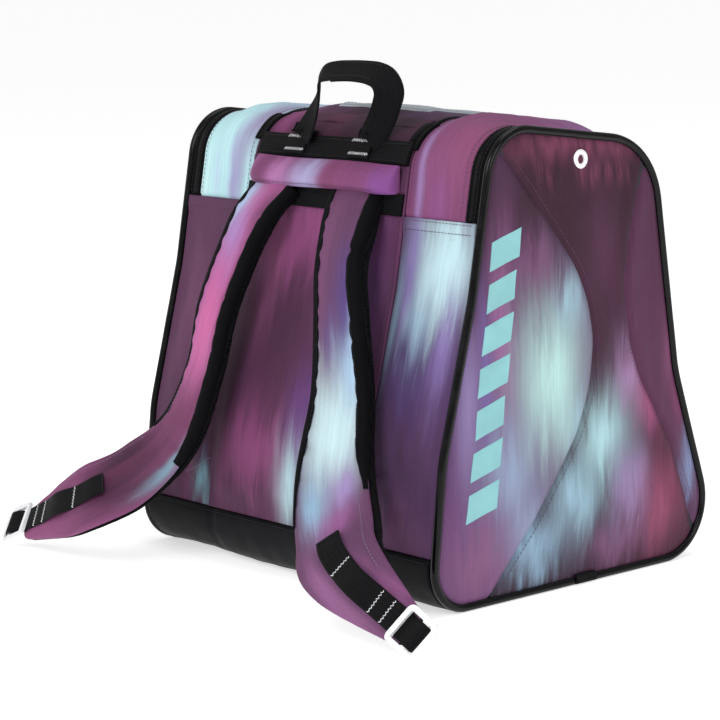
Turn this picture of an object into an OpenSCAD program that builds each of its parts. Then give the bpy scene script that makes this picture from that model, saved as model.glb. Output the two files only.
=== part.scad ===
/* [Bag] */
// Width over the outer faces of the two end doors
bag_w = 416; // [408:1:424]
// Height of the back top edge before rounding
bag_h = 420; // [416:1:424]
// Depth of the bag at the floor
base_d = 374; // [370:1:378]
// Height of the front top edge before rounding
front_h = 394; // [390:1:398]
// Height of the wipe-clean base tray
tray_h = 50; // [44:1:56]
// Height of the hem that crosses the back of each end pod
hem_h = 333; // [328:1:338]
// Half width of the middle compartment
mid_half = 108; // [104:1:112]

/* [Walls] */
// Thickness of a lined fabric wall
wall = 4; // [3:0.5:5]
// How far the pod walls sit inside the base tray and the piping
skin_in = 2; // [1:0.5:3]
// Thickness of the padded back including its foam
back_pad = 12; // [10:1:14]
// Thickness of each inner divider
divider_t = 2.5; // [2:0.5:4]

/* [End doors] */
// Thickness of a closed end door
door_t = 7.7; // [7:0.1:9]
// Width of the piping that frames a door
piping_w = 6.5; // [5:0.5:8]
// Outer radius of the eyelet
eyelet_r = 8.5; // [7:0.5:10]
// Radius of the hole through the eyelet
eyelet_hole_r = 4; // [3:0.5:5]
// Width of the zip tape beside a door
zip_w = 15; // [12:1:18]

/* [Lid] */
// Distance of the lid hinge behind the middle of the bag
lid_hinge_back = 82; // [76:1:88]
// Height of the lid's lower front edge
lid_front_h = 310; // [300:1:320]
// Width of one side of the lid zip
lid_zip_w = 4.7; // [4:0.1:6]

/* [Back harness] */
// Width of the webbing
web_w = 25; // [22:1:28]
// Lower edge of the padded yoke
yoke_z = 354; // [353:1:356]
// Lower edge of the handle band
band_z = 378; // [376:1:380]
// Height of the handle band
band_h = 19; // [17:1:21]
// Thickness of the strap's padded face
pad_t = 8; // [6:1:9]
// Thickness of the mesh under the strap
mesh_t = 4; // [3:1:4]
// Top of the carry handle
handle_top = 466; // [455:1:475]

/* [Strap hook] */
// Radius of the bar that the webbing turns round
bar_r = 2.2; // [1.8:0.1:2.4]
// Half width of the hook frame
hook_half = 19; // [18:1:22]
// Thickness of the hook plate
hook_t = 3.5; // [3:0.1:4]

/* [Hidden] */
$fn = 48;
SIDES = ["left", "right"];

black = "#16161a";
plum = "#5a3750";
magenta = "#a04a80";
aqua = "#b0dde2";
violet = "#5a4a90";
white = "#f4f4f6";
grey = "#a9b0b8";

gap = 0.3;
web_t = 2;
arc_steps = 6;
door_in = bag_w / 2 - door_t - gap;
shell_x = door_in - gap;
zip_in = shell_x - zip_w;
far = 600;

// Corners of the end outline as [y, z, rounding radius], anticlockwise from the back foot.
corners = [
  [-base_d / 2, 0, 40],
  [base_d / 2, 0, 55],
  [127, 180, 150],
  [95, front_h, 72],
  [-108, bag_h, 47],
  [-135, 271, 140],
  [-171, 135, 140]
];

function unit(v) = v / norm(v);
function flat(p) = [p[0], p[1]];
function cross_z(a, b) = a[0] * b[1] - a[1] * b[0];

// Points of the arc that rounds the corner p1 between p0 and p2.
function corner_arc(p0, p1, p2, r) =
  let (
    a = unit(p0 - p1), b = unit(p2 - p1), half = acos(a * b) / 2,
    centre = p1 + unit(a + b) * r / sin(half),
    s = p1 + a * r / tan(half) - centre, e = p1 + b * r / tan(half) - centre,
    start = atan2(s[1], s[0]), turn = atan2(cross_z(s, e), s * e)
  )
  [for (i = [0:arc_steps]) let (t = start + turn * i / arc_steps) centre + r * [cos(t), sin(t)]];

// The corner list moved inwards by d, with each radius changed to match.
function inset_corners(c, d) =
  let (n = len(c))
  [for (i = [0:n - 1])
    let (
      p0 = flat(c[(i + n - 1) % n]), p1 = flat(c[i]), p2 = flat(c[(i + 1) % n]),
      a = unit(p0 - p1), b = unit(p2 - p1), half = acos(a * b) / 2,
      side = cross_z(p1 - p0, p2 - p1) > 0 ? 1 : -1,
      q = p1 + side * unit(a + b) * d / sin(half)
    )
    [q[0], q[1], c[i][2] - side * d]];

function outline(d) =
  let (c = inset_corners(corners, d), n = len(c))
  [for (i = [0:n - 1])
    each corner_arc(flat(c[(i + n - 1) % n]), flat(c[i]), flat(c[(i + 1) % n]), c[i][2])];

// An open path with its inner corners rounded.
function rounded_path(c) =
  let (n = len(c))
  [flat(c[0]), for (i = [1:n - 2]) each corner_arc(flat(c[i - 1]), flat(c[i]), flat(c[i + 1]), c[i][2]),
   flat(c[n - 1])];

// Extrudes a shape drawn in [y, z] from x0 to x1.
module along_x(x0, x1) {
  translate([x0, 0, 0]) rotate([90, 0, 90]) linear_extrude(x1 - x0) children();
}

// A shape on the right, or its mirror image on the left.
module on_side(side) {
  if (side == "left") mirror([1, 0, 0]) children();
  else children();
}

// A wall that follows the end outline between two depths.
module ring(outer, inner) {
  difference() {
    polygon(outline(outer));
    polygon(outline(inner));
  }
}

module window(y0, y1, z0, z1) {
  translate([y0, z0]) square([y1 - y0, z1 - z0]);
}

module wall_piece(x0, x1, outer, inner, y0, y1, z0, z1) {
  along_x(x0, x1) intersection() {
    ring(outer, inner);
    window(y0, y1, z0, z1);
  }
}

/* Fixed shell */
module base_tray() {
  color(black) wall_piece(-shell_x, shell_x, 0, wall + 1, -far, far, -1, tray_h);
}

module base_board() {
  color("#303036") translate([-shell_x + 3, -138, wall + 1 + gap]) cube([2 * shell_x - 6, 240, 3]);
}

module back_panel() {
  color(magenta) wall_piece(-mid_half, mid_half, 0, 3, -far, 0, tray_h + gap, band_z);
}

module back_foam() {
  color("#3a3a40")
    wall_piece(-mid_half + 2, mid_half - 2, 3.2, back_pad, -far, 0, tray_h + gap, band_z);
}

module pod_back(side) {
  on_side(side) color(plum)
    wall_piece(mid_half + gap, shell_x, skin_in, skin_in + wall, -far, 0, tray_h + gap, hem_h);
}

module pod_top(side) {
  on_side(side) color(side == "left" ? aqua : magenta)
    wall_piece(mid_half + gap, zip_in - gap, skin_in, skin_in + wall, -far, far, hem_h + gap, far);
}

module pod_front(side) {
  on_side(side) color(plum)
    wall_piece(mid_half + gap, zip_in - gap, skin_in, skin_in + wall, 0, far, tray_h + gap, hem_h);
}

module front_panel() {
  color(magenta) wall_piece(-mid_half, mid_half, skin_in, skin_in + wall, 0, far,
    tray_h + gap, lid_front_h - lid_zip_w - 2 * gap);
}

module divider(side) {
  on_side(side) color("#2b2b30") along_x(mid_half + 4 * gap, mid_half + 4 * gap + divider_t)
    intersection() {
      polygon(outline(skin_in + wall + gap));
      window(-far, far, wall + 1 + 3 + 2 * gap, far);
    }
}

module hinge_strip() {
  color(plum) wall_piece(-mid_half, mid_half, skin_in, skin_in + wall, -far, -lid_hinge_back - gap,
    band_z + gap, far);
}

/* Back harness, fixed part */
// The padded yoke and the handle band sit a little to the right of the middle.
harness_shift = 4;
band_half = mid_half - 5;
yoke_half = mid_half - 11;

module handle_foot(x) {
  wall_piece(x - web_w / 2, x + web_w / 2, -4.2, -2, -far, 0, band_z + 2, band_z + band_h);
}

module handle_band() {
  color(black) {
    wall_piece(harness_shift - band_half, harness_shift + band_half, -2, 0, -far, 0,
      band_z + gap, band_z + band_h);
    for (x = handle_feet) handle_foot(x);
  }
}

module yoke() {
  color(magenta) along_x(harness_shift - yoke_half, harness_shift + yoke_half) difference() {
    polygon([[-100, yoke_z + gap], [-138, yoke_z + gap], [-140, yoke_z + 6], [-133, yoke_z + 16],
      [-121, band_z], [-100, band_z]]);
    polygon(outline(0));
  }
}

module yoke_webbing() {
  color(black) wall_piece(-mid_half, mid_half, -web_t, 0, -far, 0, yoke_z - 19, yoke_z - 2 * gap);
}

// A triangular tab sewn into the seam, lying on the back of the pod.
module wing(side) {
  on_side(side) color(plum) translate([0, -base_d / 2 + (tray_h + 5) * tan(wing_lean), tray_h + 5])
    rotate([90 - wing_lean, 0, 0])
      linear_extrude(2.5)
        polygon([[mid_half - 5, 0], [mid_half + 33, 24], [mid_half, 45], [mid_half - 5, 45]]);
}

wing_lean = atan((base_d / 2 - 171) / 135);

/* Zips */
module end_zip(side) {
  on_side(side) color(black) along_x(zip_in, shell_x) intersection() {
    ring(skin_in, skin_in + wall - 1);
    union() {
      window(-far, far, hem_h + gap, far);
      window(0, far, tray_h + gap, far);
    }
  }
}

module lid_zip_track() {
  low = lid_front_h - lid_zip_w - gap;
  color(black) {
    for (side = SIDES) on_side(side)
      wall_piece(mid_half - gap - lid_zip_w, mid_half - gap, skin_in, skin_in + wall - 1,
        -lid_hinge_back, far, low, far);
    wall_piece(-mid_half + gap + lid_zip_w, mid_half - gap - lid_zip_w, skin_in, skin_in + wall - 1,
      0, far, low, lid_front_h - gap);
  }
}

// Children are drawn with +Y out of the front wall and +Z up along it.
module on_front(x, y, z, lean) {
  translate([x, y, z]) rotate([lean, 0, 0]) children();
}

slider_w = 9;
slider_len = 10;
slider_top = 3.2;
cheek_t = 1;
cheek_h = 4;
pin_out = 5.5;
pin_r = 1;
eye_r = 2;
eye_hole_r = 1.3;
eye_w = 5.6;
neck_len = 8;
tab_len = 30;
tab_t = 2.4;

module slider_body() {
  cheek_in = slider_w / 2 - cheek_t - 0.5;
  difference() {
    translate([-slider_w / 2, gap, -slider_len / 2]) cube([slider_w, slider_top - gap, slider_len]);
    translate([-1, slider_top - 1, -slider_len]) cube([2, 2, 2 * slider_len]);
  }
  for (x = [-cheek_in - cheek_t, cheek_in])
    translate([x, slider_top, -cheek_h / 2]) cube([cheek_t, cheek_h, cheek_h]);
  translate([-cheek_in, pin_out, 0]) rotate([0, 90, 0]) cylinder(h = 2 * cheek_in, r = pin_r);
}

module pull_tab() {
  rotate([0, 90, 0]) difference() {
    cylinder(h = eye_w, r = eye_r, center = true);
    cylinder(h = 2 * eye_w, r = eye_hole_r, center = true);
  }
  translate([-eye_w / 2, -1, -neck_len]) cube([eye_w, 2, neck_len - eye_hole_r - gap]);
  translate([-slider_w / 2, -tab_t / 2, -neck_len - tab_len]) cube([slider_w, tab_t, tab_len]);
}

front_lean = atan((base_d / 2 - 127) / 180);
upper_lean = atan((127 - 95) / (front_h - 180));
end_slider_z = 120;
end_slider_y = 127 + (180 - end_slider_z) * tan(front_lean) - skin_in / cos(front_lean);
lid_slider_x = 62;
lid_slider_z = lid_front_h - 7;
lid_slider_y = 127 - (lid_slider_z - 180) * tan(upper_lean) - skin_in / cos(upper_lean);

module end_slider(side) {
  on_side(side) color(black)
    on_front(zip_in + zip_w / 2, end_slider_y, end_slider_z, front_lean) slider_body();
}

module end_pull(side) {
  on_side(side) color("#2a2a2e")
    on_front(zip_in + zip_w / 2, end_slider_y, end_slider_z, front_lean)
      translate([0, pin_out, 0]) pull_tab();
}

module lid_slider() {
  color(black) on_front(lid_slider_x, lid_slider_y, lid_slider_z, upper_lean) slider_body();
}

module lid_pull() {
  color("#2a2a2e") on_front(lid_slider_x, lid_slider_y, lid_slider_z, upper_lean)
    translate([0, pin_out, 0]) pull_tab();
}

/* Lid */
lid_half = mid_half - 2 * gap - lid_zip_w;

module lid_panel() {
  color(plum) wall_piece(-lid_half + lid_zip_w, lid_half - lid_zip_w, skin_in, skin_in + wall,
    -lid_hinge_back, far, lid_front_h + lid_zip_w, far);
}

module lid_zip_tape() {
  color(black) {
    for (side = SIDES) on_side(side)
      wall_piece(lid_half - lid_zip_w, lid_half, skin_in, skin_in + wall - 1,
        -lid_hinge_back, far, lid_front_h, far);
    wall_piece(-lid_half + lid_zip_w, lid_half - lid_zip_w, skin_in, skin_in + wall - 1,
      0, far, lid_front_h, lid_front_h + lid_zip_w);
  }
}

module lid_patch() {
  color(grey) wall_piece(-60, 80, skin_in - 1, skin_in, -58, 46, lid_front_h, far);
}

/* End doors */
rear_seam = rounded_path([[-112, 414, 0], [49, 213, 140], [-130, -14, 0]]);
front_seam = rounded_path([[92, 406, 0], [36, 235, 170], [118, 112, 60], [164, -12, 0]]);
door_skin = 3.6;
eyelet_y = -3;
eyelet_z = 382;

module end_skin(side, colour) {
  on_side(side) color(colour) difference() {
    along_x(bag_w / 2 - gap - door_skin, bag_w / 2 - gap) intersection() {
      polygon(outline(piping_w + 0.1));
      children();
    }
    eyelet_axis() cylinder(h = 40, r = eyelet_hole_r + 1.5, center = true);
  }
}

module eyelet_axis() {
  translate([bag_w / 2, eyelet_y, eyelet_z]) rotate([0, 90, 0]) children();
}

module behind(seam) {
  polygon(concat(seam, [[-far, seam[len(seam) - 1][1]], [-far, seam[0][1]]]));
}

module end_rear(side) {
  end_skin(side, plum) behind(rear_seam);
}

module end_mid(side) {
  end_skin(side, magenta) difference() {
    behind(front_seam);
    behind(rear_seam);
  }
}

module end_front(side) {
  end_skin(side, violet) difference() {
    window(-far, far, -5, far);
    behind(front_seam);
    window(-far, 0, -5, far);
  }
}

module end_liner(side) {
  on_side(side) color("#2b2b30") difference() {
    along_x(door_in, door_in + door_t - door_skin - gap) polygon(outline(piping_w + 0.1));
    eyelet_axis() cylinder(h = 40, r = eyelet_hole_r + 1.5, center = true);
  }
}

module end_piping(side) {
  on_side(side) color(black) along_x(door_in + gap, bag_w / 2) ring(0, piping_w);
}

module eyelet(side) {
  on_side(side) color(white) eyelet_axis() difference() {
    union() {
      translate([0, 0, -gap]) cylinder(h = 1.2, r = eyelet_r);
      translate([0, 0, -door_t - gap]) cylinder(h = door_t, r = eyelet_hole_r + 1.4);
    }
    cylinder(h = 60, r = eyelet_hole_r, center = true);
  }
}

module end_tab(side) {
  on_side(side) color(black) translate([bag_w / 2, -10, 0.5]) cube([2.2, web_w, 9]);
}

/* Carry handle */
handle_feet = [-48, 48];
handle_y = -112.5;
handle_z = 397.5;
handle_skew = 34;

module carry_handle() {
  half = abs(handle_feet[0]) + web_w / 2;
  inner = abs(handle_feet[0]) - web_w / 2;
  outer_path = rounded_path([[-half, handle_z, 0], [-half + handle_skew, handle_top, 26],
    [half + handle_skew, handle_top, 26], [half, handle_z, 0]]);
  inner_path = rounded_path([[-inner, handle_z - 1, 0], [-inner + handle_skew, handle_top - web_w + 2, 12],
    [inner + handle_skew, handle_top - web_w + 2, 12], [inner, handle_z - 1, 0]]);
  color(black) translate([0, handle_y + 3, 0]) rotate([90, 0, 0]) linear_extrude(3) difference() {
    polygon(outer_path);
    polygon(inner_path);
  }
}

/* Shoulder straps */
// Stations along the right strap: outer edge point and inner edge point of its padded face.
strap_keys = [
  [[87, -136, 353], [27, -137, 353]],
  [[93, -156, 328], [38, -158, 328]],
  [[98, -174, 290], [48, -176, 290]],
  [[114, -184, 240], [62, -191, 240]],
  [[127, -188, 185], [71, -204, 180]],
  [[146, -206, 134], [80, -230, 112]],
  [[180, -233, 102], [110, -256, 68]],
  [[220, -258, 77], [158, -284, 43]],
  [[283, -264, 33], [263, -284, 13]]
];
last_key = len(strap_keys) - 1;
strap_steps = 3;

function key_point(i, side) = strap_keys[min(max(i, 0), last_key)][side];

// A smooth curve through the stations, u counting stations from the top.
function spline(u, side) =
  let (i = min(floor(u), last_key - 1), t = u - i,
    p0 = key_point(i - 1, side), p1 = key_point(i, side),
    p2 = key_point(i + 1, side), p3 = key_point(i + 2, side),
    square_part = 2 * p0 - 5 * p1 + 4 * p2 - p3,
    cube_part = 3 * p1 - p0 - 3 * p2 + p3)
  0.5 * (2 * p1 + (p2 - p0) * t + square_part * t * t + cube_part * t * t * t);

function strap_mid(u) = (spline(u, 0) + spline(u, 1)) / 2;
function strap_along(u) =
  unit(strap_mid(min(u + 0.1, last_key)) - strap_mid(max(u - 0.1, 0)));
function strap_out(u) = unit(cross(strap_along(u), spline(u, 0) - spline(u, 1)));

edge_ease = 3;
web_lift = 0.7;
edge_in = 6;

// Cross-section ring of the strap's padded face, with eased edges.
function pad_ring(u) =
  let (o = spline(u, 0), i = spline(u, 1), n = strap_out(u), w = unit(o - i))
  [i - n * pad_t, i - n * edge_ease, i + w * edge_in, o - w * edge_in, o - n * edge_ease, o - n * pad_t];

// Cross-section ring of the mesh under the padded face.
function mesh_ring(u) =
  let (o = spline(u, 0), i = spline(u, 1), n = strap_out(u), top = pad_t + gap, under = pad_t + mesh_t)
  [i - n * under, i - n * top, o - n * top, o - n * under];

// Cross-section ring of the webbing on the strap's face.
function web_ring(u) =
  let (n = strap_out(u), c = strap_mid(u) + n * web_lift, h = unit(cross(n, strap_along(u))) * web_w / 2)
  [c - h, c - h + n * web_t, c + h + n * web_t, c + h];

// The two triangles between neighbouring points a, b of one ring and c, d of the next.
function side_faces(a, b, c, d, crossed) =
  crossed ? [[a, c, b], [c, d, b]] : [[a, c, d], [a, d, b]];

// A closed solid through a list of rings that all have the same number of points.
module skin(rings, crossed = false) {
  n = len(rings[0]);
  last = len(rings) - 1;
  polyhedron(
    points = [for (r = rings) each r],
    faces = [
      [for (k = [0:n - 1]) k],
      for (j = [0:last - 1]) for (k = [0:n - 1])
        let (m = (k + 1) % n)
        each side_faces(j * n + k, j * n + m, (j + 1) * n + k, (j + 1) * n + m, crossed),
      [for (k = [0:n - 1]) last * n + n - 1 - k]
    ]
  );
}

module strap_pad(side) {
  on_side(side) color(side == "left" ? magenta : aqua)
    skin([for (j = [0:last_key * strap_steps]) pad_ring(j / strap_steps)]);
}

module strap_mesh(side) {
  on_side(side) color(black)
    skin([for (j = [0:last_key * strap_steps]) mesh_ring(j / strap_steps)], crossed = true);
}

web_start = 6.1;
web_steps = 8;

module strap_webbing(side) {
  on_side(side) color(black)
    skin([for (j = [0:web_steps]) web_ring(web_start + (last_key - web_start) * j / web_steps)]);
}

/* Strap hook */
loop_r = bar_r + gap;
bar_out = 18;
tip_t = strap_along(last_key);
tip_n = strap_out(last_key);
tip_w = unit(cross(tip_n, tip_t));
bar_at = strap_mid(last_key) + tip_t * bar_out + tip_n * (loop_r + web_t + web_lift);

// Children are drawn with x along the strap, y across it and z out of its face, about the hook's bar.
module at_bar() {
  multmatrix([for (k = [0:2]) [tip_t[k], tip_w[k], tip_n[k], bar_at[k]]]) children();
}

// The webbing that turns round the bar, drawn in [x, z].
module loop_profile() {
  low = -loop_r - web_t;
  difference() {
    circle(r = loop_r + web_t);
    circle(r = loop_r);
    translate([-far, -far / 2]) square([far, far]);
  }
  translate([-bar_out + gap, low]) square([bar_out - gap, web_t]);
  polygon([[0, loop_r], [0, loop_r + web_t], [-3, loop_r + web_t - 0.4], [-15.5, low + web_t + 0.1],
    [-11.5, low + web_t + 0.1], [-3, loop_r - 0.4]]);
}

module hook_loop(side) {
  on_side(side) color(black) at_bar() translate([0, web_w / 2, 0]) rotate([90, 0, 0])
    linear_extrude(web_w) loop_profile();
}

module hook_outline() {
  polygon(rounded_path([[-26, 0, 0], [-26, -hook_half, 6], [6, -hook_half, 5], [13, -9, 5], [13, 9, 5],
    [6, hook_half, 5], [-26, hook_half, 6], [-26, 0, 0]]));
}

module strap_hook(side) {
  inner = web_w / 2 + 1.5;
  on_side(side) color(white) at_bar() {
    difference() {
      translate([0, 0, -hook_t / 2]) linear_extrude(hook_t) hook_outline();
      translate([-21, -inner, -5]) cube([28.5, 2 * inner, 10]);
    }
    translate([0, inner, 0]) rotate([90, 0, 0]) cylinder(h = 2 * inner, r = bar_r);
  }
}

base_tray();
base_board();
back_panel();
back_foam();
front_panel();
hinge_strip();
handle_band();
yoke();
yoke_webbing();
lid_zip_track();
lid_slider();
lid_pull();
lid_panel();
lid_patch();
lid_zip_tape();
carry_handle();
for (side = SIDES) {
  pod_back(side);
  pod_top(side);
  pod_front(side);
  divider(side);
  wing(side);
  end_zip(side);
  end_slider(side);
  end_pull(side);
  end_rear(side);
  end_mid(side);
  end_front(side);
  end_liner(side);
  end_piping(side);
  eyelet(side);
  end_tab(side);
  strap_pad(side);
  strap_mesh(side);
  strap_webbing(side);
  hook_loop(side);
  strap_hook(side);
}
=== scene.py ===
import math
import bpy
import numpy as np
from mathutils import Matrix, Vector


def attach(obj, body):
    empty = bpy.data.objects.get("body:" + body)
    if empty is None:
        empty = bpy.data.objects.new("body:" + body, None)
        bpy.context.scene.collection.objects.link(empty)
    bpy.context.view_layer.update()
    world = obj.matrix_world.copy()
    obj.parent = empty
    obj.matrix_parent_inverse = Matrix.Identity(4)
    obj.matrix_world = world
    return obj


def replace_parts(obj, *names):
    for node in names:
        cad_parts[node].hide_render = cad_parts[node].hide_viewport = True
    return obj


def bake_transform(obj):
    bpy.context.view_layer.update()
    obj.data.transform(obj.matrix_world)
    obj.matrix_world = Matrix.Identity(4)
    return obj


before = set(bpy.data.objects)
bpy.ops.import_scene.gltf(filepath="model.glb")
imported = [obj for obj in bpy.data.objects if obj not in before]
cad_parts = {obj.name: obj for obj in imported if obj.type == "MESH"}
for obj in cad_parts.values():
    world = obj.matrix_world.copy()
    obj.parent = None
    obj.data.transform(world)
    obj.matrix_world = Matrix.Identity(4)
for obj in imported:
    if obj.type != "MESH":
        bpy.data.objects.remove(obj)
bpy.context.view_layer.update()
MM = 0.001
SIDES = (("left", -1.0), ("right", 1.0))
# Points are in mm until make_piece turns them into metres.

# ---------------------------------------------------------------- outline of the bag's end, in mm
CORNERS = [(-187, 0, 40), (187, 0, 55), (127, 180, 150), (95, 394, 72),
           (-108, 420, 47), (-135, 271, 140), (-171, 135, 140)]


def unit(v):
    """The vector at length one."""
    return v / np.linalg.norm(v)


def corner_arc(p0, p1, p2, r, n):
    """Points on the arc of radius r that rounds the corner p1."""
    a, b = unit(p0 - p1), unit(p2 - p1)
    half = math.acos(float(a @ b)) / 2
    c = p1 + unit(a + b) * r / math.sin(half)
    s, e = p1 + a * r / math.tan(half) - c, p1 + b * r / math.tan(half) - c
    start, turn = math.atan2(s[1], s[0]), math.atan2(s[0] * e[1] - s[1] * e[0], float(s @ e))
    t = start + turn * np.linspace(0, 1, n)
    return c + r * np.stack([np.cos(t), np.sin(t)], 1)


def resample(pts, step=None, count=None):
    """The same line with evenly spaced points."""
    d = np.r_[0, np.cumsum(np.linalg.norm(np.diff(pts, axis=0), axis=1))]
    n = count or max(2, int(round(d[-1] / step)) + 1)
    t = np.linspace(0, d[-1], n)
    return np.stack([np.interp(t, d, pts[:, k]) for k in range(pts.shape[1])], 1)


def rounded(path, closed=False):
    """A line through corners (a, b, radius), with an arc at each."""
    p = [np.array(c[:2], float) for c in path]
    n, out = len(p), []
    for i in range(n):
        if not closed and i in (0, n - 1):
            out.append(p[i][None])
        else:
            out.append(corner_arc(p[i - 1], p[i], p[(i + 1) % n], path[i][2], 24))
    if closed:
        out.append(out[0][:1])
    return resample(np.concatenate(out), step=2.0)


def blurred(v, k):
    """A closed run of values, smoothed over k neighbours on each side."""
    w = np.hanning(2 * k + 3)[1:-1]
    w = w / w.sum()
    return np.stack([np.convolve(np.r_[v[-k:, i], v[:, i], v[:k, i]], w, "valid")
                     for i in range(v.shape[1])], 1)


class Outline:
    """The end outline as a distance s along it, from the middle of the floor, forwards and up."""

    def __init__(self):
        p = rounded(CORNERS, True)[:-1]
        k = int(np.argmin(np.abs(p[:, 0]) + 10 * (p[:, 1] > 1)))
        p = np.roll(p, -k, axis=0)
        tangent = blurred(np.roll(p, -1, axis=0) - np.roll(p, 1, axis=0), 2)
        tangent /= np.linalg.norm(tangent, axis=1)[:, None]
        self.p = np.concatenate([p, p[:1]])
        n = np.stack([tangent[:, 1], -tangent[:, 0]], 1)
        self.n = np.concatenate([n, n[:1]])
        self.s = np.r_[0, np.cumsum(np.linalg.norm(np.diff(self.p, axis=0), axis=1))]
        self.length = self.s[-1]

    def at(self, s, off=0.0):
        s = np.asarray(s, float)
        g = lambda a: np.interp(s, self.s, a)
        return g(self.p[:, 0]) + g(self.n[:, 0]) * off, g(self.p[:, 1]) + g(self.n[:, 1]) * off

    def normal(self, s):
        return np.stack([np.interp(s, self.s, self.n[:, k]) for k in (0, 1)], -1)

    def back(self, z):
        m = (self.p[:, 0] < -60) & (self.s > self.length / 2)
        s, h = self.s[m], self.p[m, 1]
        return float(np.interp(-z, -h, s))

    def front(self, z):
        m = (self.p[:, 0] > 60) & (self.s < self.length / 2)
        return float(np.interp(z, self.p[m, 1], self.s[m]))

    def top(self, y):
        m = (self.p[:, 1] > 385)
        return float(np.interp(-y, -self.p[m, 0], self.s[m]))


OUTLINE = Outline()
HEM, TRAY, BAND = 333.0, 50.0, 378.0
MID, SHELL_X, ZIP_IN, LID_HALF = 108.0, 199.7, 184.7, 102.7
LID_Y, LID_Z = -82.0, 310.0
BAND_TOP = 397.0
GAP = 0.3          # clearance between neighbouring panels
LID_TAPE = 4.7     # width of the zip tape round the lid
LID_COIL = LID_HALF + 0.35
PITCH = 2.2        # from one zip tooth to the next
TOOTH = (3.1, 1.5, 1.7)
FOOT_X = 44.5      # middle of each handle foot
TINT_SHIFT = 24.0  # how far apart a wall samples its colour field for the streaks


# ---------------------------------------------------------------- small maths
def smooth(x):
    """A soft step from 0 to 1."""
    x = np.clip(x, 0, 1)
    return x * x * (3 - 2 * x)


def bell(x, centre, width):
    """A bump of height 1 round centre."""
    return np.exp(-((x - centre) / width) ** 2)


def ripple(a, b, size, seed, stretch=1.0):
    """Soft repeatable waves over two coordinates."""
    r = np.random.default_rng(seed)
    out, n = 0, 7
    for _ in range(n):
        t, f = r.uniform(0, 2 * math.pi), 2 * math.pi / size * r.uniform(0.6, 1.6)
        out = out + np.sin(a * f * math.cos(t) + b * f * math.sin(t) / stretch + r.uniform(0, 6.3))
    return out / math.sqrt(n)


def spaced(a, b, step, near=(0.4, 1.2, 2.6)):
    """Values from a to b at about one step, closer together near both ends."""
    lo, hi = min(a, b), max(a, b)
    inner = np.linspace(lo + near[-1], hi - near[-1], max(2, int((hi - lo - 2 * near[-1]) / step) + 1))
    v = np.r_[lo, [lo + k for k in near[:-1]], inner, [hi - k for k in near[-2::-1]], hi]
    return v if a < b else v[::-1]


def edge_roll(e, r):
    """How far a face drops at distance e from its edge, as an arc of radius r."""
    k = np.clip(r - e, 0, r)
    return -(r - np.sqrt(np.maximum(r * r - k * k, 0)))


def polyline_distance(y, z, line):
    """Distance of each point (y, z) from a line."""
    p = np.stack([y.ravel(), z.ravel()], 1)
    q = resample(line, step=3.0)
    best = np.full(len(p), 1e9)
    for a, b in zip(q[:-1], q[1:]):
        d = b - a
        t = np.clip(((p - a) @ d) / max(float(d @ d), 1e-9), 0, 1)
        best = np.minimum(best, np.linalg.norm(p - a - t[:, None] * d, axis=1))
    return best.reshape(y.shape)


# ---------------------------------------------------------------- print colours
def lin(h):
    """A hex colour as linear values."""
    c = np.array([int(h[i:i + 2], 16) for i in (1, 3, 5)]) / 255
    return np.where(c <= 0.04045, c / 12.92, ((c + 0.055) / 1.055) ** 2.4)


def painted(base, spots, warp=(3.0, 9.0), scale=1.0, soft=2.4):
    """A colour field over two coordinates: each spot is (a, b, width a, width b, colour, share)."""
    def field(a, b):
        a2 = a + warp[0] * ripple(a, b * scale, 60, 3, 3)
        b2 = b + warp[1] * ripple(a, b * scale, 26, 5, 9)
        col = np.ones(a.shape + (3,)) * lin(base)
        for ca, cb, ra, rb, colour, k in spots:
            w = (k * np.exp(-np.abs((a2 - ca) / ra) ** soft - np.abs((b2 - cb) / rb) ** soft))[..., None]
            col = col * (1 - w) + lin(colour) * w
        return col
    return field


BACK = painted("#542e4b", [
    (-20, 316, 95, 36, "#914b7c", 0.95), (-62, 285, 18, 60, "#b9689a", 0.6),
                           (30, 262, 20, 46, "#86467a", 0.8),
    (-20, 225, 60, 50, "#4a2942", 0.8), (-35, 108, 52, 36, "#8a4775", 0.9),
                           (20, 140, 18, 50, "#6d4486", 0.7),
    (12, 84, 17, 34, "#b2d2da", 0.95), (-60, 60, 26, 18, "#4a2a42", 0.8), (70, 250, 24, 110, "#5b3a6c", 0.8),
    (88, 120, 16, 60, "#86507f", 0.7)])
POD_LOW = {
    "right": painted("#51345a", [
        (168, 302, 38, 52, "#c2e2ea", 0.97), (128, 292, 13, 48, "#8874b2", 0.85),
        (147, 236, 17, 30, "#a6cbe0", 0.8),
        (113, 240, 7, 46, "#7a9dad", 0.7), (150, 200, 48, 38, "#4c3766", 0.92),
        (150, 128, 34, 32, "#4b3150", 0.8),
        (155, 56, 44, 26, "#6a3f62", 0.8), (182, 226, 9, 46, "#8f7ab8", 0.7)]),
    "left": painted("#573350", [
        # The dark spot at -128, 190 lies beside the left strap's outer edge: painted shade from the strap on
        # the print.
        (-128, 190, 14, 70, "#3a263c", 0.85), (-168, 232, 18, 60, "#6c4060", 0.7),
                                (-165, 110, 30, 60, "#532f49", 0.8),
        (-118, 62, 13, 13, "#86bccb", 0.85), (-150, 150, 8, 60, "#774a70", 0.6),
                                (-140, 82, 12, 26, "#7c4469", 0.6)])}
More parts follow.
